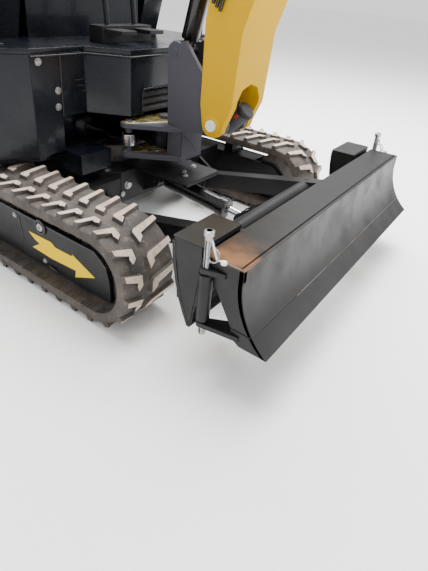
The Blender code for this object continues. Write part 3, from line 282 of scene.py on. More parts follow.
# ---- materials -------------------------------------------
class Look:
    """A Principled material with short ways to add procedural detail in the object's own coordinates."""

    def __init__(self, name, colour, roughness, metallic=0.0, coat=0.0, specular=0.5):
        self.material = bpy.data.materials.new(name)
        self.material.use_nodes = True
        self.tree = self.material.node_tree
        self.shader = self.tree.nodes["Principled BSDF"]
        self.shader.inputs["Base Color"].default_value = (*colour, 1)
        self.shader.inputs["Roughness"].default_value = roughness
        self.shader.inputs["Metallic"].default_value = metallic
        self.shader.inputs["Coat Weight"].default_value = coat
        self.shader.inputs["Coat Roughness"].default_value = 0.08
        self.shader.inputs["Specular IOR Level"].default_value = specular
        self.place = self.node("ShaderNodeTexCoord").outputs["Object"]
        self.colour = (*colour, 1)
        self.roughness = roughness
        self.height = None

    def node(self, kind, **values):
        made = self.tree.nodes.new(kind)
        for key, value in values.items():
            if key in made.inputs:
                made.inputs[key].default_value = value
            else:
                setattr(made, key, value)
        return made

    def link(self, output, node, socket):
        self.tree.links.new(output, node.inputs[socket])

    def along(self, axis):
        """The surface's own coordinate along X, Y or Z."""
        split = self.node("ShaderNodeSeparateXYZ")
        self.link(self.place, split, "Vector")
        return split.outputs[axis]

    def noise(self, scale, detail, stretch=(1, 1, 1)):
        mapping = self.node("ShaderNodeMapping", Scale=stretch)
        self.link(self.place, mapping, "Vector")
        cloud = self.node("ShaderNodeTexNoise", Scale=scale, Detail=detail)
        self.link(mapping.outputs["Vector"], cloud, "Vector")
        return cloud.outputs["Fac"]

    def ramp(self, source, start, end, most=1.0):
        """0 where source is at start, rising to most where it is at end."""
        made = self.node("ShaderNodeMapRange")
        for socket, value in (("From Min", start), ("From Max", end), ("To Min", 0.0), ("To Max", most)):
            made.inputs[socket].default_value = value
        self.link(source, made, "Value")
        return made.outputs["Result"]

    def patches(self, scale, detail, start, end, most=1.0):
        """A mask of soft patches: noise of that scale, cut off between start and end."""
        return self.ramp(self.noise(scale, detail), start, end, most)

    def times(self, first, second):
        made = self.node("ShaderNodeMath", operation="MULTIPLY")
        self.link(first, made, 0)
        self.link(second, made, 1)
        return made.outputs[0]

    def tint(self, mask, colour):
        """Blends colour in where mask is 1."""
        mix = self.node("ShaderNodeMix", data_type="RGBA")
        self.link(mask, mix, 0)
        if isinstance(self.colour, tuple):
            mix.inputs[6].default_value = self.colour
        else:
            self.link(self.colour, mix, 6)
        mix.inputs[7].default_value = (*colour, 1)
        self.colour = mix.outputs[2]

    def gloss(self, mask, roughness):
        """Roughness goes to that value where mask is 1."""
        mix = self.node("ShaderNodeMix", data_type="FLOAT")
        self.link(mask, mix, 0)
        mix.inputs[2].default_value = self.roughness
        mix.inputs[3].default_value = roughness
        self.roughness = mix.outputs[0]

    def bump(self, scale, detail, distance, strength):
        """Raises the surface by noise of that scale."""
        height = self.noise(scale, detail)
        made = self.node("ShaderNodeBump", Distance=distance, Strength=strength)
        self.link(height, made, "Height")
        if self.height is not None:
            self.link(self.height, made, "Normal")
        self.height = made.outputs["Normal"]

    def done(self):
        if not isinstance(self.colour, tuple):
            self.link(self.colour, self.shader, "Base Color")
        if not isinstance(self.roughness, float):
            self.link(self.roughness, self.shader, "Roughness")
        if self.height is not None:
            self.link(self.height, self.shader, "Normal")
        return self.material


BLACK = (0.0060, 0.0058, 0.0060)
RUBBED = (14.0, 4.0, 0.4, 0.7)          # scale, detail and cut-off of the rubbed places on every paint
PEEL = (420.0, 1.0, 0.00025, 0.35)      # scale, detail, depth and strength of orange peel


def paint(name, colour, roughness, dust, specular, coat=0.0):
    """Sprayed enamel: faint orange peel, a little dust and a few rubbed places."""
    look = Look(name, colour, roughness, coat=coat, specular=specular)
    dusty = tuple(0.10 + 0.7 * c for c in colour)
    look.tint(look.patches(6.0, 5.0, 0.50, 0.80, dust), dusty)
    look.gloss(look.patches(*RUBBED), roughness + 0.12)
    look.bump(*PEEL)
    look.bump(9.0, 2.0, 0.002, 0.25)
    return look.done()


def blade_enamel():
    """Black enamel, browned by heat on top of the flange at the near end."""
    look = Look("blade_enamel", BLACK, 0.40, specular=0.28)
    look.tint(look.patches(5.0, 5.0, 0.50, 0.80, 0.10), (0.060, 0.050, 0.042))
    end, top = low("dozer_blade").y, high("dozer_blade").z
    near_end = look.ramp(look.along("Y"), end + 0.150, end + 0.020)
    near_top = look.ramp(look.along("Z"), top - 0.006, top - 0.001)
    burnt = look.times(near_top, look.times(near_end, look.patches(16.0, 3.0, 0.35, 0.60)))
    look.tint(burnt, (0.20, 0.085, 0.030))
    look.gloss(look.patches(*RUBBED), 0.55)
    look.bump(300.0, 1.0, 0.0002, 0.3)
    return look.done()


def boom_enamel():
    look = Look("boom_enamel", (0.60, 0.345, 0.0), 0.45, specular=0.08)
    look.tint(look.patches(7.0, 4.0, 0.50, 0.80, 0.25), (0.50, 0.27, 0.0))
    look.gloss(look.patches(*RUBBED), 0.52)
    look.bump(*PEEL)
    return look.done()


def chrome():
    """Hard chrome with faint marks along the rod's stroke."""
    look = Look("hard_chrome", (0.80, 0.80, 0.82), 0.10, metallic=1.0)
    look.gloss(look.ramp(look.noise(60.0, 4.0, (1, 8, 8)), 0.45, 0.7), 0.22)
    return look.done()


def zinc():
    look = Look("zinc_plate", (0.42, 0.41, 0.40), 0.36, metallic=1.0)
    look.tint(look.patches(90.0, 3.0, 0.45, 0.7), (0.26, 0.26, 0.28))
    return look.done()


def bare_steel():
    """Steel that begins to rust."""
    look = Look("bare_steel", (0.16, 0.15, 0.14), 0.42, metallic=0.9)
    look.tint(look.patches(24.0, 5.0, 0.5, 0.75), (0.10, 0.06, 0.035))
    look.gloss(look.patches(40.0, 4.0, 0.4, 0.7), 0.62)
    return look.done()


def track_rubber():
    """Black rubber under brown dust, with paler crumbs."""
    look = Look("track_rubber", (0.035, 0.030, 0.027), 0.78)
    look.tint(look.patches(11.0, 5.0, 0.38, 0.70, 0.75), (0.115, 0.092, 0.076))
    look.tint(look.patches(70.0, 4.0, 0.56, 0.72, 0.35), (0.20, 0.175, 0.15))
    look.bump(160.0, 4.0, 0.0006, 0.5)
    return look.done()


def worn_rubber():
    """The lugs' pale tops."""
    look = Look("worn_lug", (0.46, 0.37, 0.30), 0.85)
    look.tint(look.patches(55.0, 5.0, 0.46, 0.66, 0.75), (0.27, 0.205, 0.16))
    look.tint(look.patches(9.0, 3.0, 0.50, 0.66, 0.55), (0.60, 0.52, 0.45))
    look.bump(220.0, 4.0, 0.0005, 0.5)
    return look.done()


def vinyl():
    look = Look("seat_vinyl", (0.012, 0.012, 0.013), 0.50)
    look.gloss(look.patches(30.0, 3.0, 0.4, 0.7), 0.62)
    look.bump(650.0, 3.0, 0.0005, 0.6)
    return look.done()


def woven_sleeve():
    look = Look("woven_sleeve", (0.022, 0.021, 0.023), 0.80, specular=0.3)
    look.tint(look.patches(260.0, 2.0, 0.46, 0.62), (0.085, 0.080, 0.080))
    look.bump(420.0, 2.0, 0.0012, 0.9)
    return look.done()


def old_grease():
    """Wet brown grease with pale clots."""
    look = Look("old_grease", (0.22, 0.18, 0.07), 0.16, coat=0.6)
    look.tint(look.patches(38.0, 4.0, 0.42, 0.60), (0.075, 0.060, 0.020))
    look.tint(look.patches(70.0, 3.0, 0.62, 0.72), (0.55, 0.52, 0.42))
    look.bump(70.0, 4.0, 0.004, 0.9)
    return look.done()


def grained(name, colour, roughness, grain):
    """A plain moulded material with a fine grain."""
    look = Look(name, colour, roughness)
    look.bump(*grain)
    return look.done()


def film(name, colour, roughness, scale, rubbed, specular=0.5):
    """A thin coloured film or enamel that is rubbed in patches of that scale."""
    look = Look(name, colour, roughness, specular=specular)
    look.gloss(look.patches(scale, 3.0, 0.4, 0.7), rubbed)
    return look.done()


def make_materials():
    return {
        "house": paint("house_enamel", (0.0045, 0.0058, 0.0095), 0.24, 0.04, 0.22, coat=0.12),
        "frame": paint("frame_satin", (0.0075, 0.0075, 0.0085), 0.42, 0.08, 0.25),
        "blade": blade_enamel(),
        "cylinder": paint("cylinder_enamel", (0.0035, 0.0035, 0.0042), 0.22, 0.03, 0.35, coat=0.25),
        "post": paint("post_grey", (0.060, 0.058, 0.072), 0.42, 0.10, 0.25),
        "yellow": boom_enamel(),
        "wing": paint("wing_enamel", BLACK, 0.40, 0.10, 0.28),
        "weight": paint("counterweight_enamel", (0.020, 0.020, 0.023), 0.38, 0.10, 0.3),
        "chrome": chrome(),
        "zinc": zinc(),
        "steel": bare_steel(),
        "rubber": track_rubber(),
        "worn": worn_rubber(),
        "vinyl": vinyl(),
        "plastic": grained("moulded_plastic", (0.010, 0.010, 0.011), 0.45, (800.0, 2.0, 0.0003, 0.5)),
        "hose": grained("hose_rubber", (0.008, 0.008, 0.009), 0.42, (300.0, 2.0, 0.0004, 0.4)),
        "sleeve": woven_sleeve(),
        "grease": old_grease(),
        "decal": film("yellow_film", (0.86, 0.58, 0.0), 0.55, 50.0, 0.45, specular=0.05),
        "white": film("white_enamel", (0.80, 0.80, 0.78), 0.40, 60.0, 0.52),
        "red": film("red_film", (0.55, 0.02, 0.01), 0.4, 90.0, 0.5),
    }


# ---- tracks ----------------------------------------------
LUG_COUNT = 44
LUG_TOP = 0.012
LUG_ROOT = 0.004                        # how deep a lug starts inside the belt
LUG_FLARE = 0.0055                      # a lug's foot is wider than its top by this much all round
LUG_CHAMFER = 0.0012
CAP_DEPTH = 0.0016                      # thickness of the worn top
BELT_DEPTH = 0.0298
BELT_STEPS = 6                          # rings of the belt for each lug
BELT_LIP = 0.034                        # width of the thick edge on the inside
BELT_MARGIN = 0.001                     # lugs stay this far inside the belt's edges
TICKS = 4                               # short ribs on the belt's inside edge for each lug
TICK_SPACING = 0.16                     # as a share of the lugs' pitch
HOOK_X = {1: -0.4804, -1: -0.5169}      # a hook's tip in the outer and the inner row, from the blade's tip
# Top of a lug as (forward, out from the track's middle): the outer row's, then the inner row's.
LUG_OUTLINES = {
    1: [(-0.046, 0.085), (-0.034, 0.085), (-0.020, 0.052), (-0.012, 0.056), (0.0, 0.051), (-0.009, 0.038),
        (-0.031, 0.036)],
    -1: [(-0.046, -0.085), (-0.034, -0.085), (-0.019, -0.014), (-0.011, -0.014), (0.0, 0.003),
         (-0.028, 0.003), (-0.034, -0.004)],
}


class Loop:
    """The belt's path round idler and sprocket."""

    def __init__(self, side):
        name = SIDE_NAMES[side]
        self.side = side
        idler, track = middle("idler_" + name), middle("rubber_track_" + name)
        self.front = idler.x
        self.z = idler.z
        self.y = track.y
        self.rear = 2 * track.x - idler.x
        self.radius = idler.z - LUG_TOP
        self.straight = self.front - self.rear
        self.bend = math.pi * self.radius
        self.length = 2 * (self.straight + self.bend)
        self.half_width = (high("rubber_track_" + name).y - low("rubber_track_" + name).y) / 2

    def at(self, forward, out, rise):
        """The place forward along the belt from above the rear axle, out from its middle and over it."""
        y = self.y + self.side * out
        travel = forward % self.length
        radius = self.radius + rise
        if travel < self.straight:
            return Vector((self.rear + travel, y, self.z + radius))
        travel -= self.straight
        if travel < self.bend:
            turn = travel / self.radius
            return Vector((self.front + radius * math.sin(turn), y, self.z + radius * math.cos(turn)))
        travel -= self.bend
        if travel < self.straight:
            return Vector((self.front - travel, y, self.z - radius))
        turn = (travel - self.straight) / self.radius
        return Vector((self.rear - radius * math.sin(turn), y, self.z - radius * math.cos(turn)))


def clockwise(outline):
    """Whether the outline runs clockwise."""
    area = 0.0
    for i, (x, y) in enumerate(outline):
        nx, ny = outline[(i + 1) % len(outline)]
        area += x * ny - nx * y
    return area < 0


def spread(outline, distance):
    """The outline with each point moved away from its middle corner by corner."""
    centre = Vector((sum(p[0] for p in outline), sum(p[1] for p in outline))) / len(outline)
    moved = []
    for i, here in enumerate(outline):
        here = Vector(here)
        before = (here - Vector(outline[i - 1])).normalized()
        after = (Vector(outline[(i + 1) % len(outline)]) - here).normalized()
        normal = Vector((before.y + after.y, -before.x - after.x)).normalized()
        inward = (here + normal * 1e-4 - centre).length < (here - centre).length
        if inward and clockwise(outline):
            normal = -normal
        moved.append(here + normal * distance)
    return moved


def belt_section(half):
    """The belt's section as (out, rise): rounded shoulders, a thick edge on each side, a plain inner face."""
    deep = -BELT_DEPTH
    edge = [(half - 0.010, 0.0), (half - 0.003, -0.003), (half - 0.0005, -0.009),
            (half - 0.0005, deep + 0.006), (half - 0.004, deep + 0.001), (half - BELT_LIP, deep)]
    section = [(-out, rise) for out, rise in reversed(edge)] + edge
    return [section[-1]] + section[:-1]


def track(side, looks):
    """A belt with its lugs and inside ribs, and the lugs' worn tops."""
    name = SIDE_NAMES[side]
    loop = Loop(side)
    pitch = loop.length / LUG_COUNT
    half = loop.half_width
    steps = LUG_COUNT * BELT_STEPS
    section = belt_section(half)
    belt = Shape()
    belt.loft([[loop.at(loop.length * k / steps, *p) for p in section] for k in range(steps)], closed=True)
    tops = Shape()
    most = half - BELT_MARGIN
    for row, outline in LUG_OUTLINES.items():
        first = BLADE_TIP + HOOK_X[row] - loop.rear
        foot = spread(outline, LUG_FLARE)
        shoulder = spread(outline, LUG_CHAMFER)
        for k in range(LUG_COUNT):
            start = first + k * pitch
            rings = []
            for ring, rise in ((foot, -LUG_ROOT), (shoulder, LUG_TOP - LUG_CHAMFER)):
                rings.append([loop.at(start + f, max(-most, min(most, out)), rise) for f, out in ring])
            belt.loft(rings)
            rings = []
            for ring, rise in ((shoulder, LUG_TOP - CAP_DEPTH), (outline, LUG_TOP)):
                rings.append([loop.at(start + f, out, rise) for f, out in ring])
            tops.loft(rings)
    inner, outer = half - BELT_LIP, half - 0.003
    for k in range(LUG_COUNT):
        for i in range(TICKS):
            start = (k + TICK_SPACING * (i + 0.5)) * pitch
            end = start + 0.003
            ring = [(start, inner), (end, inner), (end, outer), (start, outer)]
            belt.loft([[loop.at(f, out, -BELT_DEPTH - rise) for f, out in ring] for rise in (-0.001, 0.0012)])
    piece = belt.make(f"track_{name}", "undercarriage", looks["rubber"], angle=30)
    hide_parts("rubber_track_" + name)
    tops.make(f"track_lug_tops_{name}", "undercarriage", looks["worn"], angle=30)


# ---- undercarriage ---------------------------------------
# Places on a track frame's outer plate, as (X from the slew axis, Z).
ARROW = [(0.232, 0.140), (0.334, 0.143), (0.350, 0.133), (0.423, 0.134), (0.421, 0.141), (0.509, 0.106),
         (0.429, 0.072), (0.434, 0.095), (0.330, 0.089), (0.244, 0.093), (0.280, 0.117), (0.261, 0.123)]
ROLLER = (0.294, 0.176)
FRAME_BOLTS = ((0.172, 0.171), (0.298, 0.067), (0.060, 0.150))
FRAME_RIM = ((-0.330, 0.1885), (0.510, 0.1835), (0.552, 0.152))
GUARD_BOLTS = ((0.383, 0.060), (0.393, -0.006), (0.419, -0.030))        # X from the slew axis, Y
CHASSIS_FRONT = 0.245
CHASSIS_BOLTS = ((0.085, 0.178, 0.024), (-0.120, 0.178, 0.024), (-0.145, 0.150, 0.014))     # Y, Z, size


def frame_details(side, looks):
    """Arrow, roller cap, bolts, slit and top rim on a track frame's outer plate."""
    name = SIDE_NAMES[side]
    plate = side * high("track_frame_left").y
    out = Vector((0, side, 0))
    arrow = Shape().prism([at(x, plate + side * 0.0001, z) for x, z in ARROW], out * 0.0007)
    arrow.make(f"arrow_{name}", "undercarriage", looks["decal"])
    hub = at(ROLLER[0], plate, ROLLER[1])
    collar = [(-0.002, 0.023), (0.004, 0.023), (0.0055, 0.021), (0.0055, 0.0165), (0.001, 0.015)]
    Shape().turned(hub, out, collar, 32).make(f"roller_cap_{name}", "undercarriage", looks["plastic"])
    button = [(0.0, 0.0125), (0.0055, 0.0125), (0.007, 0.0105), (0.007, 0.005), (0.004, 0.004)]
    bolts = Shape().turned(hub, out, button, 28)
    for x, z in FRAME_BOLTS:
        bolts.bolt(at(x, plate, z), out, 0.013)
    bolts.make(f"frame_bolts_{name}", "undercarriage", looks["zinc"], bevel=0.0005)
    slit = Shape().box(at(0.196, plate + side * 0.0005, 0.137), (0.0032, 0.0012, 0.076), along=(1, 0, 0.14))
    hook = ((0.330, 0, 0.056), (0.324, 0.004, 0.062), (0.348, 0.004, 0.060), (0.352, 0, 0.052))
    slit.tube([at(x, plate + side * y, z) for x, y, z in hook], 0.003)
    slit.make(f"frame_slit_{name}", "undercarriage", looks["hose"])
    rim = Shape().tube([at(x, plate - side * 0.003, z) for x, z in FRAME_RIM], 0.004)
    rim.make(f"frame_rim_{name}", "undercarriage", looks["cylinder"], angle=60)


def guard_details(looks):
    """Bolts and a bent front edge on the plate over the blade cylinder, and the chassis's bolts."""
    top = high("blade_cylinder_guard").z
    bolts = Shape()
    for x, y in GUARD_BOLTS:
        bolts.bolt(at(x, y, top), UP, 0.017)
    bolts.make("guard_bolts", "undercarriage", looks["zinc"], bevel=0.0005)
    front, sunk = high("blade_cylinder_guard").x - SLEW_X, top - 0.001
    edge = ((-0.012, -0.094), (0, -0.085), (0, 0.085), (-0.012, 0.094))
    lip = Shape().prism([at(front + x, y, sunk) for x, y in edge], (0, 0, -0.005))
    flap = ((-0.001, -0.086, 0), (-0.001, 0.086, 0), (0.004, 0.082, -0.010), (0.004, -0.082, -0.010))
    lip.prism([at(front + x, y, sunk + z) for x, y, z in flap], (-0.005, 0, -0.001))
    lip.make("guard_lip", "undercarriage", looks["frame"], bevel=0.001)
    pins = Shape()
    for y, z, size in CHASSIS_BOLTS:
        pins.bolt(at(CHASSIS_FRONT, y, z), FORWARD, size)
    pins.bolt(at(0.200, -0.170, high("chassis").z), UP, 0.018)
    pins.make("chassis_bolts", "undercarriage", looks["zinc"], bevel=0.0005)


# ---- swing post ------------------------------------------
POCKET_X = 0.046                        # front of the recessed panel, from the slew axis
POCKET_Y = (-0.288, -0.045)
POCKET_Z = (0.312, 0.417)
SWING_EYE = (0.262, -0.130)             # where the swing cylinder's rod meets the post
BOOT_CENTRE = (0.052, -0.1345, 0.345)
BOOT = [(-0.012, 0.030), (0.000, 0.034), (0.004, 0.030), (0.008, 0.034), (0.012, 0.030), (0.016, 0.033),
        (0.021, 0.026), (0.023, 0.0155), (0.010, 0.0152)]
EAR_TOPS = {"upper": 0.400, "lower": 0.305}     # height of the faces that carry grease
HOSE_TURNS = 4
HOSE_WAVE = 0.0012                      # how far a loop of hose rises and falls
HORN_TIP = (0.611, 0, 0.489)
HORN_ROOT = (0.545, 0, 0.422)
HORN_CAP = [(-0.016, 0.0255), (-0.014, 0.0275), (-0.002, 0.0275), (0.002, 0.025), (0.004, 0.018),
            (0.0045, 0.006)]


def on_edge(centre, point):
    """Where the line from centre through a point of the recessed panel meets the panel's edge."""
    reach = []
    for start, end, (least, most) in ((centre.y, point.y, POCKET_Y), (centre.z, point.z, POCKET_Z)):
        if end != start:
            reach.append(((most if end > start else least) - start) / (end - start))
    return Vector((point.x, *(centre + (point - centre) * min(reach)).yz))


def swing_pocket(looks):
    """The recessed panel that the swing cylinder comes out of, with its rubber boot."""
    centre = at(*BOOT_CENTRE)
    hole = circle(at(POCKET_X, centre.y, centre.z - 0.001), 1, 24, SIDEWAYS * 0.033, UP * 0.0315)
    outer = [on_edge(centre, p) for p in hole]
    back = Vector((-0.005, 0, 0))
    panel = Shape().loft([hole, outer, [p + back for p in outer], [p + back for p in hole]], closed=True)
    depth = low("front_cover").x - SLEW_X - POCKET_X
    height = POCKET_Z[1] - POCKET_Z[0]
    panel.box(at(POCKET_X + depth / 2, POCKET_Y[0] + 0.001, POCKET_Z[0] + height / 2), (depth, 0.004, height))
    panel.make("swing_pocket", "house", looks["house"])
    rim = at(POCKET_X + 0.001, centre.y, centre.z)
    lip = Shape().tube(arc(rim, 1, 190, 350, 10, SIDEWAYS * 0.036, UP * 0.034), 0.0035)
    lip.make("swing_pocket_lip", "house", looks["weight"], angle=60)
    along = (middle("swing_cylinder_rod") - middle("swing_cylinder_barrel")).normalized()
    boot = Shape().turned(centre - along * 0.004, along, BOOT, 32)
    body = frame["nodes"]["swing_cylinder_barrel"]["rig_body"]
    boot.make("swing_boot", body, looks["hose"], angle=50)


def smear(outline, top, height, seed):
    """A lumpy patch over a flat outline, as rings of points from its edge to its middle."""
    centre = sum(outline, Vector()) / len(outline)
    rings = [[Vector((p.x, p.y, top - 0.0004)) for p in outline]]
    for share in (0.97, 0.90, 0.80, 0.68, 0.55, 0.42, 0.30, 0.18, 0.07):
        rise = height * min(1.0, (1 - share) * 6 + 0.3)
        ring = []
        for p in outline:
            here = centre.lerp(p, share)
            lump = 0.55 + 0.9 * noise.noise(here * 28 + Vector((seed, 0, 0))) + 0.5 * noise.noise(here * 75)
            ring.append(Vector((here.x, here.y, top + rise * max(0.08, lump))))
        rings.append(ring)
    return rings


def ears(looks):
    """Grease on the two ears of the swing post."""
    eye = at(*SWING_EYE, 0)
    pivot = at(pin("boom_swing").x - SLEW_X, 0, 0)
    outline = arc(eye, 0.023, 165, 300, 8) + arc(pivot, 0.060, -40, 10, 8) + arc(pivot, 0.064, 60, 175, 8)
    smaller = [pivot + (p - pivot) * 0.97 for p in outline]
    for name, ring, height, seed in (("upper", outline, 0.005, 3.1), ("lower", smaller, 0.004, 8.7)):
        patch = Shape().loft(smear(ring, EAR_TOPS[name], height, seed))
        patch.make(f"grease_{name}", "swing", looks["grease"], angle=80)


def hose_coils(looks):
    """Sleeved hoses lying in flat loops behind the nose's window."""
    first, last = low("hose_coils"), high("hose_coils")
    pitch = (last.z - first.z) / HOSE_TURNS
    radius = pitch * 0.46
    x0, x1 = first.x + radius, last.x - radius
    y0, y1 = first.y + radius, last.y - radius
    bend = min(0.016, (x1 - x0) / 2)
    corners = ((x1 - bend, y1 - bend), (x0 + bend, y1 - bend), (x0 + bend, y0 + bend), (x1 - bend, y0 + bend))
    coils = Shape()
    for i in range(HOSE_TURNS):
        route = []
        for quarter, (x, y) in enumerate(corners):
            z = first.z + pitch * (i + 0.5)
            for k, point in enumerate(arc(Vector((x, y, z)), bend, 90 * quarter, 90 * quarter + 90, 4)):
                turn = math.radians(90 * quarter + 90 * k / 4)
                route.append(point + UP * HOSE_WAVE * math.sin(3 * turn + i))
        coils.tube(route, radius, 16, closed=True)
    piece = coils.make("hose_loops", "house", looks["sleeve"], angle=60)
    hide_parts("hose_coils")


def horn(looks):
    """Cap and a plain red mark on the round barrel below the boom's foot."""
    tip = at(*HORN_TIP)
    along = (tip - at(*HORN_ROOT)).normalized()
    Shape().turned(tip, along, HORN_CAP, 32).make("horn_cap", "swing", looks["plastic"], angle=50)
    mark = Shape()
    for k in range(3):
        here = tip - along * (0.022 + 0.005 * k) + Vector((0, -0.0252, 0))
        mark.box(here, (0.0035, 0.0012, 0.009), along=along)
    mark.make("horn_mark", "swing", looks["red"])


# ---- boom ------------------------------------------------
BOOM_SIDE = 0.085
PIPE_ROUTE = [(0.530, 0.760), (0.600, 0.960), (0.690, 1.090), (0.850, 1.270), (1.010, 1.440)]   # X, Z
PIPE_SPACING = 0.014


def boom_foot(side, looks):
    """The pin's round head and its pale disc on one side of the boom's foot."""
    name = SIDE_NAMES[side]
    centre = pin("boom_lift") + Vector((0, side * BOOM_SIDE, 0))
    out = Vector((0, side, 0))
    boss = Shape().turned(centre, out, [(-0.002, 0.031), (0.0015, 0.031), (0.0025, 0.029)], 36)
    boss.make(f"boom_boss_{name}", "boom", looks["yellow"])
    face = [(0.002, 0.0165), (0.0085, 0.0165), (0.0100, 0.0150), (0.0100, 0.0045), (0.0085, 0.0040)]
    Shape().turned(centre, out, face, 28).make(f"boom_pin_disc_{name}", "swing", looks["white"])


def boom_pipes(looks):
    """Rigid oil pipes clipped along the boom's near side."""
    pipes, clips = Shape(), Shape()
    y = -BOOM_SIDE - 0.006
    for k in range(3):
        offset = PIPE_SPACING * k
        pipes.tube([at(x + offset * 0.8, y, z - offset * 0.6) for x, z in PIPE_ROUTE], 0.0045, 10)
    for x, z in PIPE_ROUTE[1:4]:
        clips.box(at(x + 0.011, y, z - 0.008), (0.046, 0.014, 0.014), along=(0.8, 0, -0.6))
        clips.bolt(at(x + 0.004, y - 0.006, z - 0.002), -SIDEWAYS, 0.009)
    pipes.make("boom_pipes", "boom", looks["cylinder"], angle=60)
    clips.make("boom_pipe_clips", "boom", looks["plastic"], bevel=0.001)


# ---- house -----------------------------------------------
PANEL_X = 0.150                         # face of the front panels beside the nose, from the slew axis
PANEL_BOLTS = ((-0.305, 0.449), (-0.302, 0.496), (0.305, 0.449), (-0.360, 0.580), (0.360, 0.580))   # Y, Z
PANEL_SEAM = 0.290
WINDOW = [(-0.082, 0.418), (-0.082, 0.489), (-0.074, 0.496), (0.061, 0.496), (0.069, 0.489), (0.069, 0.418)]
LOUVRE_PITCH = 0.022


def front_details(looks):
    """Louvres, bolts, seams, a top rim and the window's rim on the front panels."""
    slits = Shape()
    for k in range(3):
        slit = at(PANEL_X + 0.0015, -0.215 + 0.006 * k, 0.520 - 0.017 * k)
        slits.box(slit, (0.003, 0.050 - 0.010 * k, 0.004))
    slits.make("front_louvres", "house", looks["weight"], bevel=0.001)
    bolts = Shape()
    for y, z in PANEL_BOLTS:
        bolts.bolt(at(PANEL_X, y, z), FORWARD, 0.016)
    bolts.make("front_bolts", "house", looks["zinc"], bevel=0.0005)
    seams = Shape()
    for y in (-PANEL_SEAM, PANEL_SEAM):
        seams.tube([at(PANEL_X + 0.002, y, z) for z in (0.600, 0.420)], 0.0022)
    seams.make("front_seams", "house", looks["hose"], angle=60)
    cover = high("front_cover")
    nose = cover.x - SLEW_X
    half = [(PANEL_X + 0.003, cover.y), (PANEL_X + 0.003, 0.202), (nose + 0.0025, 0.131)]
    outline = [(x, -y) for x, y in half] + half[::-1]
    rims = Shape().tube([at(x, y, cover.z - 0.006) for x, y in outline], 0.0035)
    rims.tube([at(nose + 0.0015, y, z) for y, z in WINDOW], 0.0028)
    rims.make("front_rims", "house", looks["house"], angle=60)


def hood_details(looks):
    """Louvres on the hood's sides and rear, and its handle."""
    first, side_y = low("engine_hood"), high("engine_hood").y
    louvres = Shape()
    for y in (side_y + 0.0005, -side_y - 0.0005):
        for k in range(6):
            louvres.box((SLEW_X - 0.500, y, first.z + 0.070 + LOUVRE_PITCH * k), (0.120, 0.004, 0.008))
    for k in range(7):
        louvres.box((first.x - 0.0005, 0, first.z + 0.050 + LOUVRE_PITCH * k), (0.004, 0.240, 0.008))
    louvres.make("hood_louvres", "hood", looks["weight"], bevel=0.002)
    grip = ((0, -0.05), (-0.014, -0.045), (-0.014, 0.045), (0, 0.05))
    handle = Shape().tube([(first.x + x, y, first.z + 0.215) for x, y in grip], 0.006)
    handle.make("hood_handle", "hood", looks["plastic"], angle=60)


# ---- dozer blade -----------------------------------------
BLADE_HALF = 0.500
BLADE_CURVE = 0.1875                    # radius of the blade's hollow face
BLADE_SEAM = 0.038                      # height of the cutting edge above its tip
STRAIGHT_TOP = 0.035                    # the face bends forward below this much of plain upright plate
FACE_PLATE = 0.012
RIBS_Y = (0.210, 0.290)
TONGUE_RADIUS = 0.0145
PLAY = 0.0005                           # between faces that would lie in one plane
EYE = (0.650, 0.033, 0.150)             # outer end of the pin in the blade cylinder's eye


def face_x(z):
    """X of the blade's front face at height z."""
    bottom, top = low("cutting_edge").z, high("dozer_blade").z

    def bend(height):
        drop = max(0.0, top - STRAIGHT_TOP - height)
        return BLADE_CURVE - math.sqrt(BLADE_CURVE**2 - drop**2)

    return BLADE_TIP - bend(bottom) + bend(z)


def face_line(start, end, steps):
    """Side view of the front face between two heights."""
    heights = [start + (end - start) * i / steps for i in range(steps + 1)]
    return [(face_x(z), z) for z in heights]


def face_plate(start, end, steps):
    """Side view of the face plate between two heights, front then back."""
    front = face_line(start, end, steps)
    return front + [(x - FACE_PLATE, z) for x, z in reversed(front)]


def sweep(outline, y0, y1):
    """Rings that carry a side view from y0 to y1."""
    return [[Vector((x, y, z)) for x, z in outline] for y in (y0, y1)]


def tongue(side, root, heights):
    """Rings of a flat tongue from the blade's end round the wing's pin."""
    place = middle("wing_pin_left")
    centre = Vector((place.x, side * place.y, 0))
    ring = arc(centre, TONGUE_RADIUS, 100, 290, 12, FORWARD, side * SIDEWAYS)
    for back, inward in ((0, 0.060), (0, 0.030), (0.010, -0.004)):
        ring.append(Vector((root - back, side * (BLADE_HALF - inward), 0)))
    return [[Vector((p.x, p.y, z)) for p in ring] for z in heights]


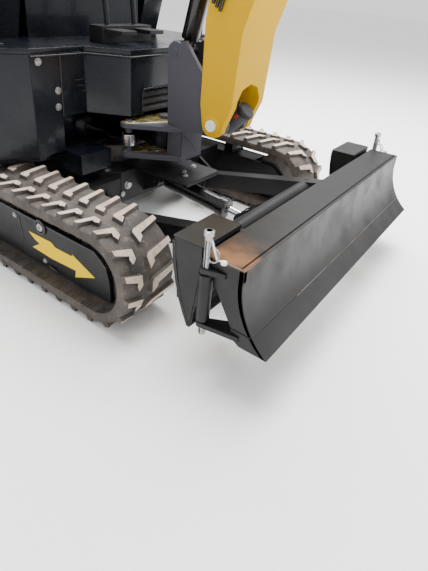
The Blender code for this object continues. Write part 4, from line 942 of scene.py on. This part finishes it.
def blade_body(looks):
    """The face plate with its flange, end cheeks, tongues and ribs, and the cutting edge with its own."""
    bottom, top = low("cutting_edge").z, high("dozer_blade").z
    seam = bottom + BLADE_SEAM
    under_seam = seam - 0.0006
    rear = low("dozer_blade").x
    body = Shape().loft(sweep(face_plate(seam, top, 20), -BLADE_HALF, BLADE_HALF))
    flange_front = face_x(top) - 0.006
    flange = [(flange_front, top), (rear + 0.004, top), (rear, top - 0.004), (rear, top - 0.011),
              (flange_front, top - 0.011)]
    body.loft(sweep(flange, -BLADE_HALF + PLAY, BLADE_HALF - PLAY))
    edge = Shape().loft(sweep(face_plate(bottom, under_seam, 8), -BLADE_HALF, BLADE_HALF))
    cheek = face_line(seam + PLAY, top - 0.002, 14)
    cheek += [(rear + 0.001, top - 0.002), (rear + 0.001, top - 0.035), (rear + 0.030, top - 0.057),
              (face_x(seam) - 0.055, seam + PLAY)]
    edge_cheek = face_line(bottom + PLAY, under_seam, 6)
    edge_cheek += [(face_x(seam) - 0.055, under_seam), (face_x(seam) - 0.046, bottom + 0.010),
                   (face_x(seam) - 0.030, bottom + PLAY)]
    rib = []
    for z in (seam + 0.004, seam + 0.040, seam + 0.080, top - 0.020, top - 0.006):
        rib.append((face_x(z) - FACE_PLATE * 0.6, z))
    rib += [(rear + 0.012, top - 0.006), (face_x(seam) - 0.060, seam + 0.020)]
    for side in (1, -1):
        ends = (side * BLADE_HALF, side * (BLADE_HALF - FACE_PLATE))
        body.loft(sweep(cheek, *ends))
        edge.loft(sweep(edge_cheek, *ends))
        body.loft(tongue(side, face_x(top) - 0.030, (top - 0.036, top - 0.024)))
        edge.loft(tongue(side, BLADE_TIP - 0.060, (bottom + 0.014, bottom + 0.026)))
        for y in RIBS_Y:
            body.loft(sweep(rib, side * y - 0.004, side * y + 0.004))
    piece = body.make("blade_body", "blade", looks["blade"], bevel=0.0014, angle=40)
    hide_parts("dozer_blade")
    piece = edge.make("blade_edge", "blade", looks["blade"], bevel=0.0012, angle=40)
    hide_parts("cutting_edge")


def blade_details(looks):
    """Weld beads along the blade's seam, ribs and cheeks, and the pin in the blade cylinder's eye."""
    seam, top = low("cutting_edge").z + BLADE_SEAM, high("dozer_blade").z
    beads = Shape()
    beads.weld((face_x(seam), -0.300, seam), (face_x(seam), 0.497, seam), 0.0011)
    for y in (-RIBS_Y[1], -RIBS_Y[0], *RIBS_Y):
        for offset in (-0.005, 0.005):
            beads.weld(at(0.885, y + offset, top - 0.0125), at(0.931, y + offset, top - 0.0125), 0.0022)
    for y in (BLADE_HALF - 0.0015, 0.0015 - BLADE_HALF):
        beads.weld((face_x(top) - 0.070, y, top - 0.001), (face_x(top) - 0.006, y, top - 0.001), 0.0016)
    beads.make("blade_welds", "blade", looks["steel"], angle=60)
    eye = Shape()
    end = [(-0.004, 0.013), (0.006, 0.013), (0.0075, 0.011), (0.0075, 0.004), (0.006, 0.003)]
    for side in (1, -1):
        eye.turned(at(EYE[0], side * EYE[1], EYE[2]), (0, side, 0), end, 24)
    eye.make("blade_eye_pin", "blade", looks["zinc"])


def wing_pin(side, looks):
    """The wing's lock pin with its ring and lanyard."""
    name = SIDE_NAMES[side]
    bottom, top = low("wing_pin_" + name), high("wing_pin_" + name)
    length = top.z - bottom.z
    foot = Vector(((bottom.x + top.x) / 2, (bottom.y + top.y) / 2, bottom.z))
    stem = [(0, 0.006), (0.004, 0.008), (length - 0.020, 0.008), (length - 0.017, 0.0045),
            (length - 0.006, 0.0045), (length - 0.005, 0.0075), (length, 0.0065)]
    rod = Shape().turned(foot, UP, stem, 20)
    centre = foot + Vector((0.014, 0, length - 0.052))
    ring = circle(centre, 1, 20, FORWARD * 0.0135, Vector((0, 0.004, 0.0135)))
    rod.tube(ring, 0.0018, 8, closed=True)
    piece = rod.make(f"lock_pin_{name}", "blade", looks["zinc"], angle=50)
    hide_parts("wing_pin_" + name)
    flange = high("dozer_blade").z
    drop = [(0.004, top.z - 0.014), (0.010, top.z - 0.024), (0.016, top.z - 0.040), (0.024, top.z - 0.058),
            (0.034, flange + 0.004), (0.040, flange - 0.001)]
    wire = Shape().tube([(foot.x + x, foot.y, z) for x, z in drop], 0.0022, 8)
    button = [(0, 0.0065), (0.005, 0.0065), (0.0065, 0.005)]
    wire.turned(Vector((foot.x + 0.040, foot.y, flange - 0.0005)), UP, button, 16)
    wire.make(f"lanyard_{name}", "blade", looks["white"], angle=60)


# ---- seat ------------------------------------------------
PAD_START = 0.965                       # a pad starts as this share of its CAD solid, then swells
PAD_SWELL = 0.008                       # the most that a point of it moves
PAD_VOXEL = 0.006
PAD_FRAMES = 20                         # length of the simulation


def apply_modifiers(piece):
    """Replaces the mesh by its evaluated form and drops the modifiers."""
    bpy.context.view_layer.update()
    graph = bpy.context.evaluated_depsgraph_get()
    mesh = bpy.data.meshes.new_from_object(piece.evaluated_get(graph))
    piece.modifiers.clear()
    piece.data = mesh


def swell(piece):
    """Remeshes the piece, blows it up as cloth, caps how far its points move and smooths it."""
    remesh = piece.modifiers.new("remesh", "REMESH")
    remesh.mode = "VOXEL"
    remesh.voxel_size = PAD_VOXEL
    apply_modifiers(piece)
    start = [vertex.co.copy() for vertex in piece.data.vertices]
    cloth = piece.modifiers.new("pad", "CLOTH")
    cloth.settings.use_pressure = True
    cloth.settings.uniform_pressure_force = 4.0
    cloth.settings.effector_weights.gravity = 0.0
    cloth.settings.quality = 5
    for number in range(1, PAD_FRAMES + 1):
        bpy.context.scene.frame_set(number)
    apply_modifiers(piece)
    bpy.context.scene.frame_set(1)
    for vertex, before in zip(piece.data.vertices, start):
        move = vertex.co - before
        if move.length > PAD_SWELL:
            vertex.co = before + move.normalized() * PAD_SWELL
    subdivide = piece.modifiers.new("smooth", "SUBSURF")
    subdivide.levels = 1
    subdivide.render_levels = 1
    apply_modifiers(piece)


def cushion(node, look):
    """A padded form inside a CAD cushion."""
    piece = copy_of(node, node + "_pad")
    centre = middle(node)
    for vertex in piece.data.vertices:
        vertex.co = centre + (vertex.co - centre) * PAD_START
    swell(piece)
    dress(piece, look)
    piece.data.shade_smooth()
    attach(piece, "house")
    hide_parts(node)


def seat(looks):
    """Both cushions, and two lines of piping along the lower one."""
    for node in ("seat_cushion", "seat_back"):
        cushion(node, looks["vinyl"])
    piping = Shape()
    first, last = low("seat_cushion"), high("seat_cushion")
    for y in (first.y * 0.34, last.y * 0.34):
        piping.tube([(first.x + 0.035, y, last.z - 0.010), (last.x - 0.030, y, last.z + 0.001)], 0.0025, 8)
    piping.make("seat_piping", "house", looks["vinyl"], angle=60)


# ---- camera, light and floor -----------------------------
CAMERA = (0.2793, -1.1488, 0.7982)      # from the blade's tip, the middle and the ground
AHEAD = (-0.4930, 0.7376, -0.4614)      # where it looks
RIGHT = (0.8314, 0.5557, 0)             # its right-hand side before the roll
ROLL = 4.95


def camera():
    """The view from the right of the blade, close and a little rolled."""
    ahead, right = Vector(AHEAD).normalized(), Vector(RIGHT).normalized()
    up = right.cross(ahead)
    roll = math.radians(ROLL)
    rolled_right = right * math.cos(roll) + up * math.sin(roll)
    rolled_up = up * math.cos(roll) - right * math.sin(roll)
    turned = Matrix((rolled_right, rolled_up, -ahead)).transposed().to_quaternion()
    data = bpy.data.cameras.new("camera")
    data.lens = 28.87
    data.sensor_width = 36
    data.shift_y = -0.105
    data.clip_start = 0.02
    made = bpy.data.objects.new("camera", data)
    place = Vector((BLADE_TIP, 0, 0)) + Vector(CAMERA)
    made.matrix_world = Matrix.LocRotScale(place, turned, None)
    bpy.context.scene.collection.objects.link(made)
    bpy.context.scene.camera = made


def softbox(name, offset, size, power):
    """A square area light at an offset from a point in front of the house, turned towards that point."""
    target = Vector((SLEW_X + 0.5, 0, 0.2))
    data = bpy.data.lights.new(name, "AREA")
    data.shape = "RECTANGLE"
    data.size = data.size_y = size
    data.energy = power
    made = bpy.data.objects.new(name, data)
    made.location = target + Vector(offset)
    made.rotation_euler = (target - made.location).to_track_quat("-Z", "Y").to_euler()
    bpy.context.scene.collection.objects.link(made)


def studio():
    """A pale floor under an even white sky and two softboxes."""
    corners = [(-30, -30), (30, -30), (30, 30), (-30, 30)]
    ground = Shape().add([(x, y, -0.0005) for x, y in corners], [[0, 1, 2, 3]])
    floor = bpy.data.objects.new("floor", ground.mesh("floor"))
    bpy.context.scene.collection.objects.link(floor)
    pale = Look("studio_floor", (0.93, 0.93, 0.93), 0.8, specular=0.1)
    pale.gloss(pale.patches(3.0, 2.0, 0.4, 0.6), 0.8)
    floor.data.materials.append(pale.done())
    world = bpy.data.worlds.new("studio_light")
    world.use_nodes = True
    sky = world.node_tree.nodes["Background"]
    sky.inputs["Color"].default_value = (1, 1, 1, 1)
    sky.inputs["Strength"].default_value = 1.25
    bpy.context.scene.world = world
    softbox("overhead", (-0.6, 0.8, 3.4), 3.2, 620)
    softbox("front_left", (2.6, 1.6, 1.9), 1.6, 60)


# ---- whole -----------------------------------------------
EDGE = 0.0012                           # rounding of the plain CAD pieces' edges
SURFACES = {
    "house": ("platform", "front_cover", "side_cover_left", "side_cover_right", "engine_hood", "floor_plate",
              "seat_base", "console_left", "console_right"),
    "weight": ("counterweight", "canopy_frame"),
    "frame": ("track_frame_left", "track_frame_right", "chassis", "travel_levers", "engine_block"),
    "wing": ("blade_lift_frame", "blade_wing_left", "blade_wing_right"),
    "cylinder": ("blade_cylinder_barrel", "swing_cylinder_barrel", "boom_cylinder_barrel",
                 "arm_cylinder_barrel", "bucket_cylinder_barrel"),
    "steel": ("idler_left", "idler_right", "sprocket_left", "sprocket_right", "slew_ring"),
    "post": ("swing_bracket", "bucket", "bucket_rocker", "bucket_link"),
    "yellow": ("boom", "arm", "canopy_roof"),
    "chrome": ("blade_cylinder_rod", "swing_cylinder_rod", "boom_cylinder_rod", "arm_cylinder_rod",
               "bucket_cylinder_rod"),
    "zinc": ("wing_pin_left", "wing_pin_right"),
    "plastic": ("joystick_left", "joystick_right"),
}

camera()
studio()
looks = make_materials()
for look_name, nodes in SURFACES.items():
    for node in nodes:
        refined(node, looks[look_name], EDGE)
refined("blade_cylinder_guard", looks["frame"], 0)
for side in (1, -1):
    track(side, looks)
    frame_details(side, looks)
    wing_pin(side, looks)
    boom_foot(side, looks)
guard_details(looks)
swing_pocket(looks)
ears(looks)
hose_coils(looks)
horn(looks)
front_details(looks)
hood_details(looks)
blade_body(looks)
blade_details(looks)
boom_pipes(looks)
seat(looks)
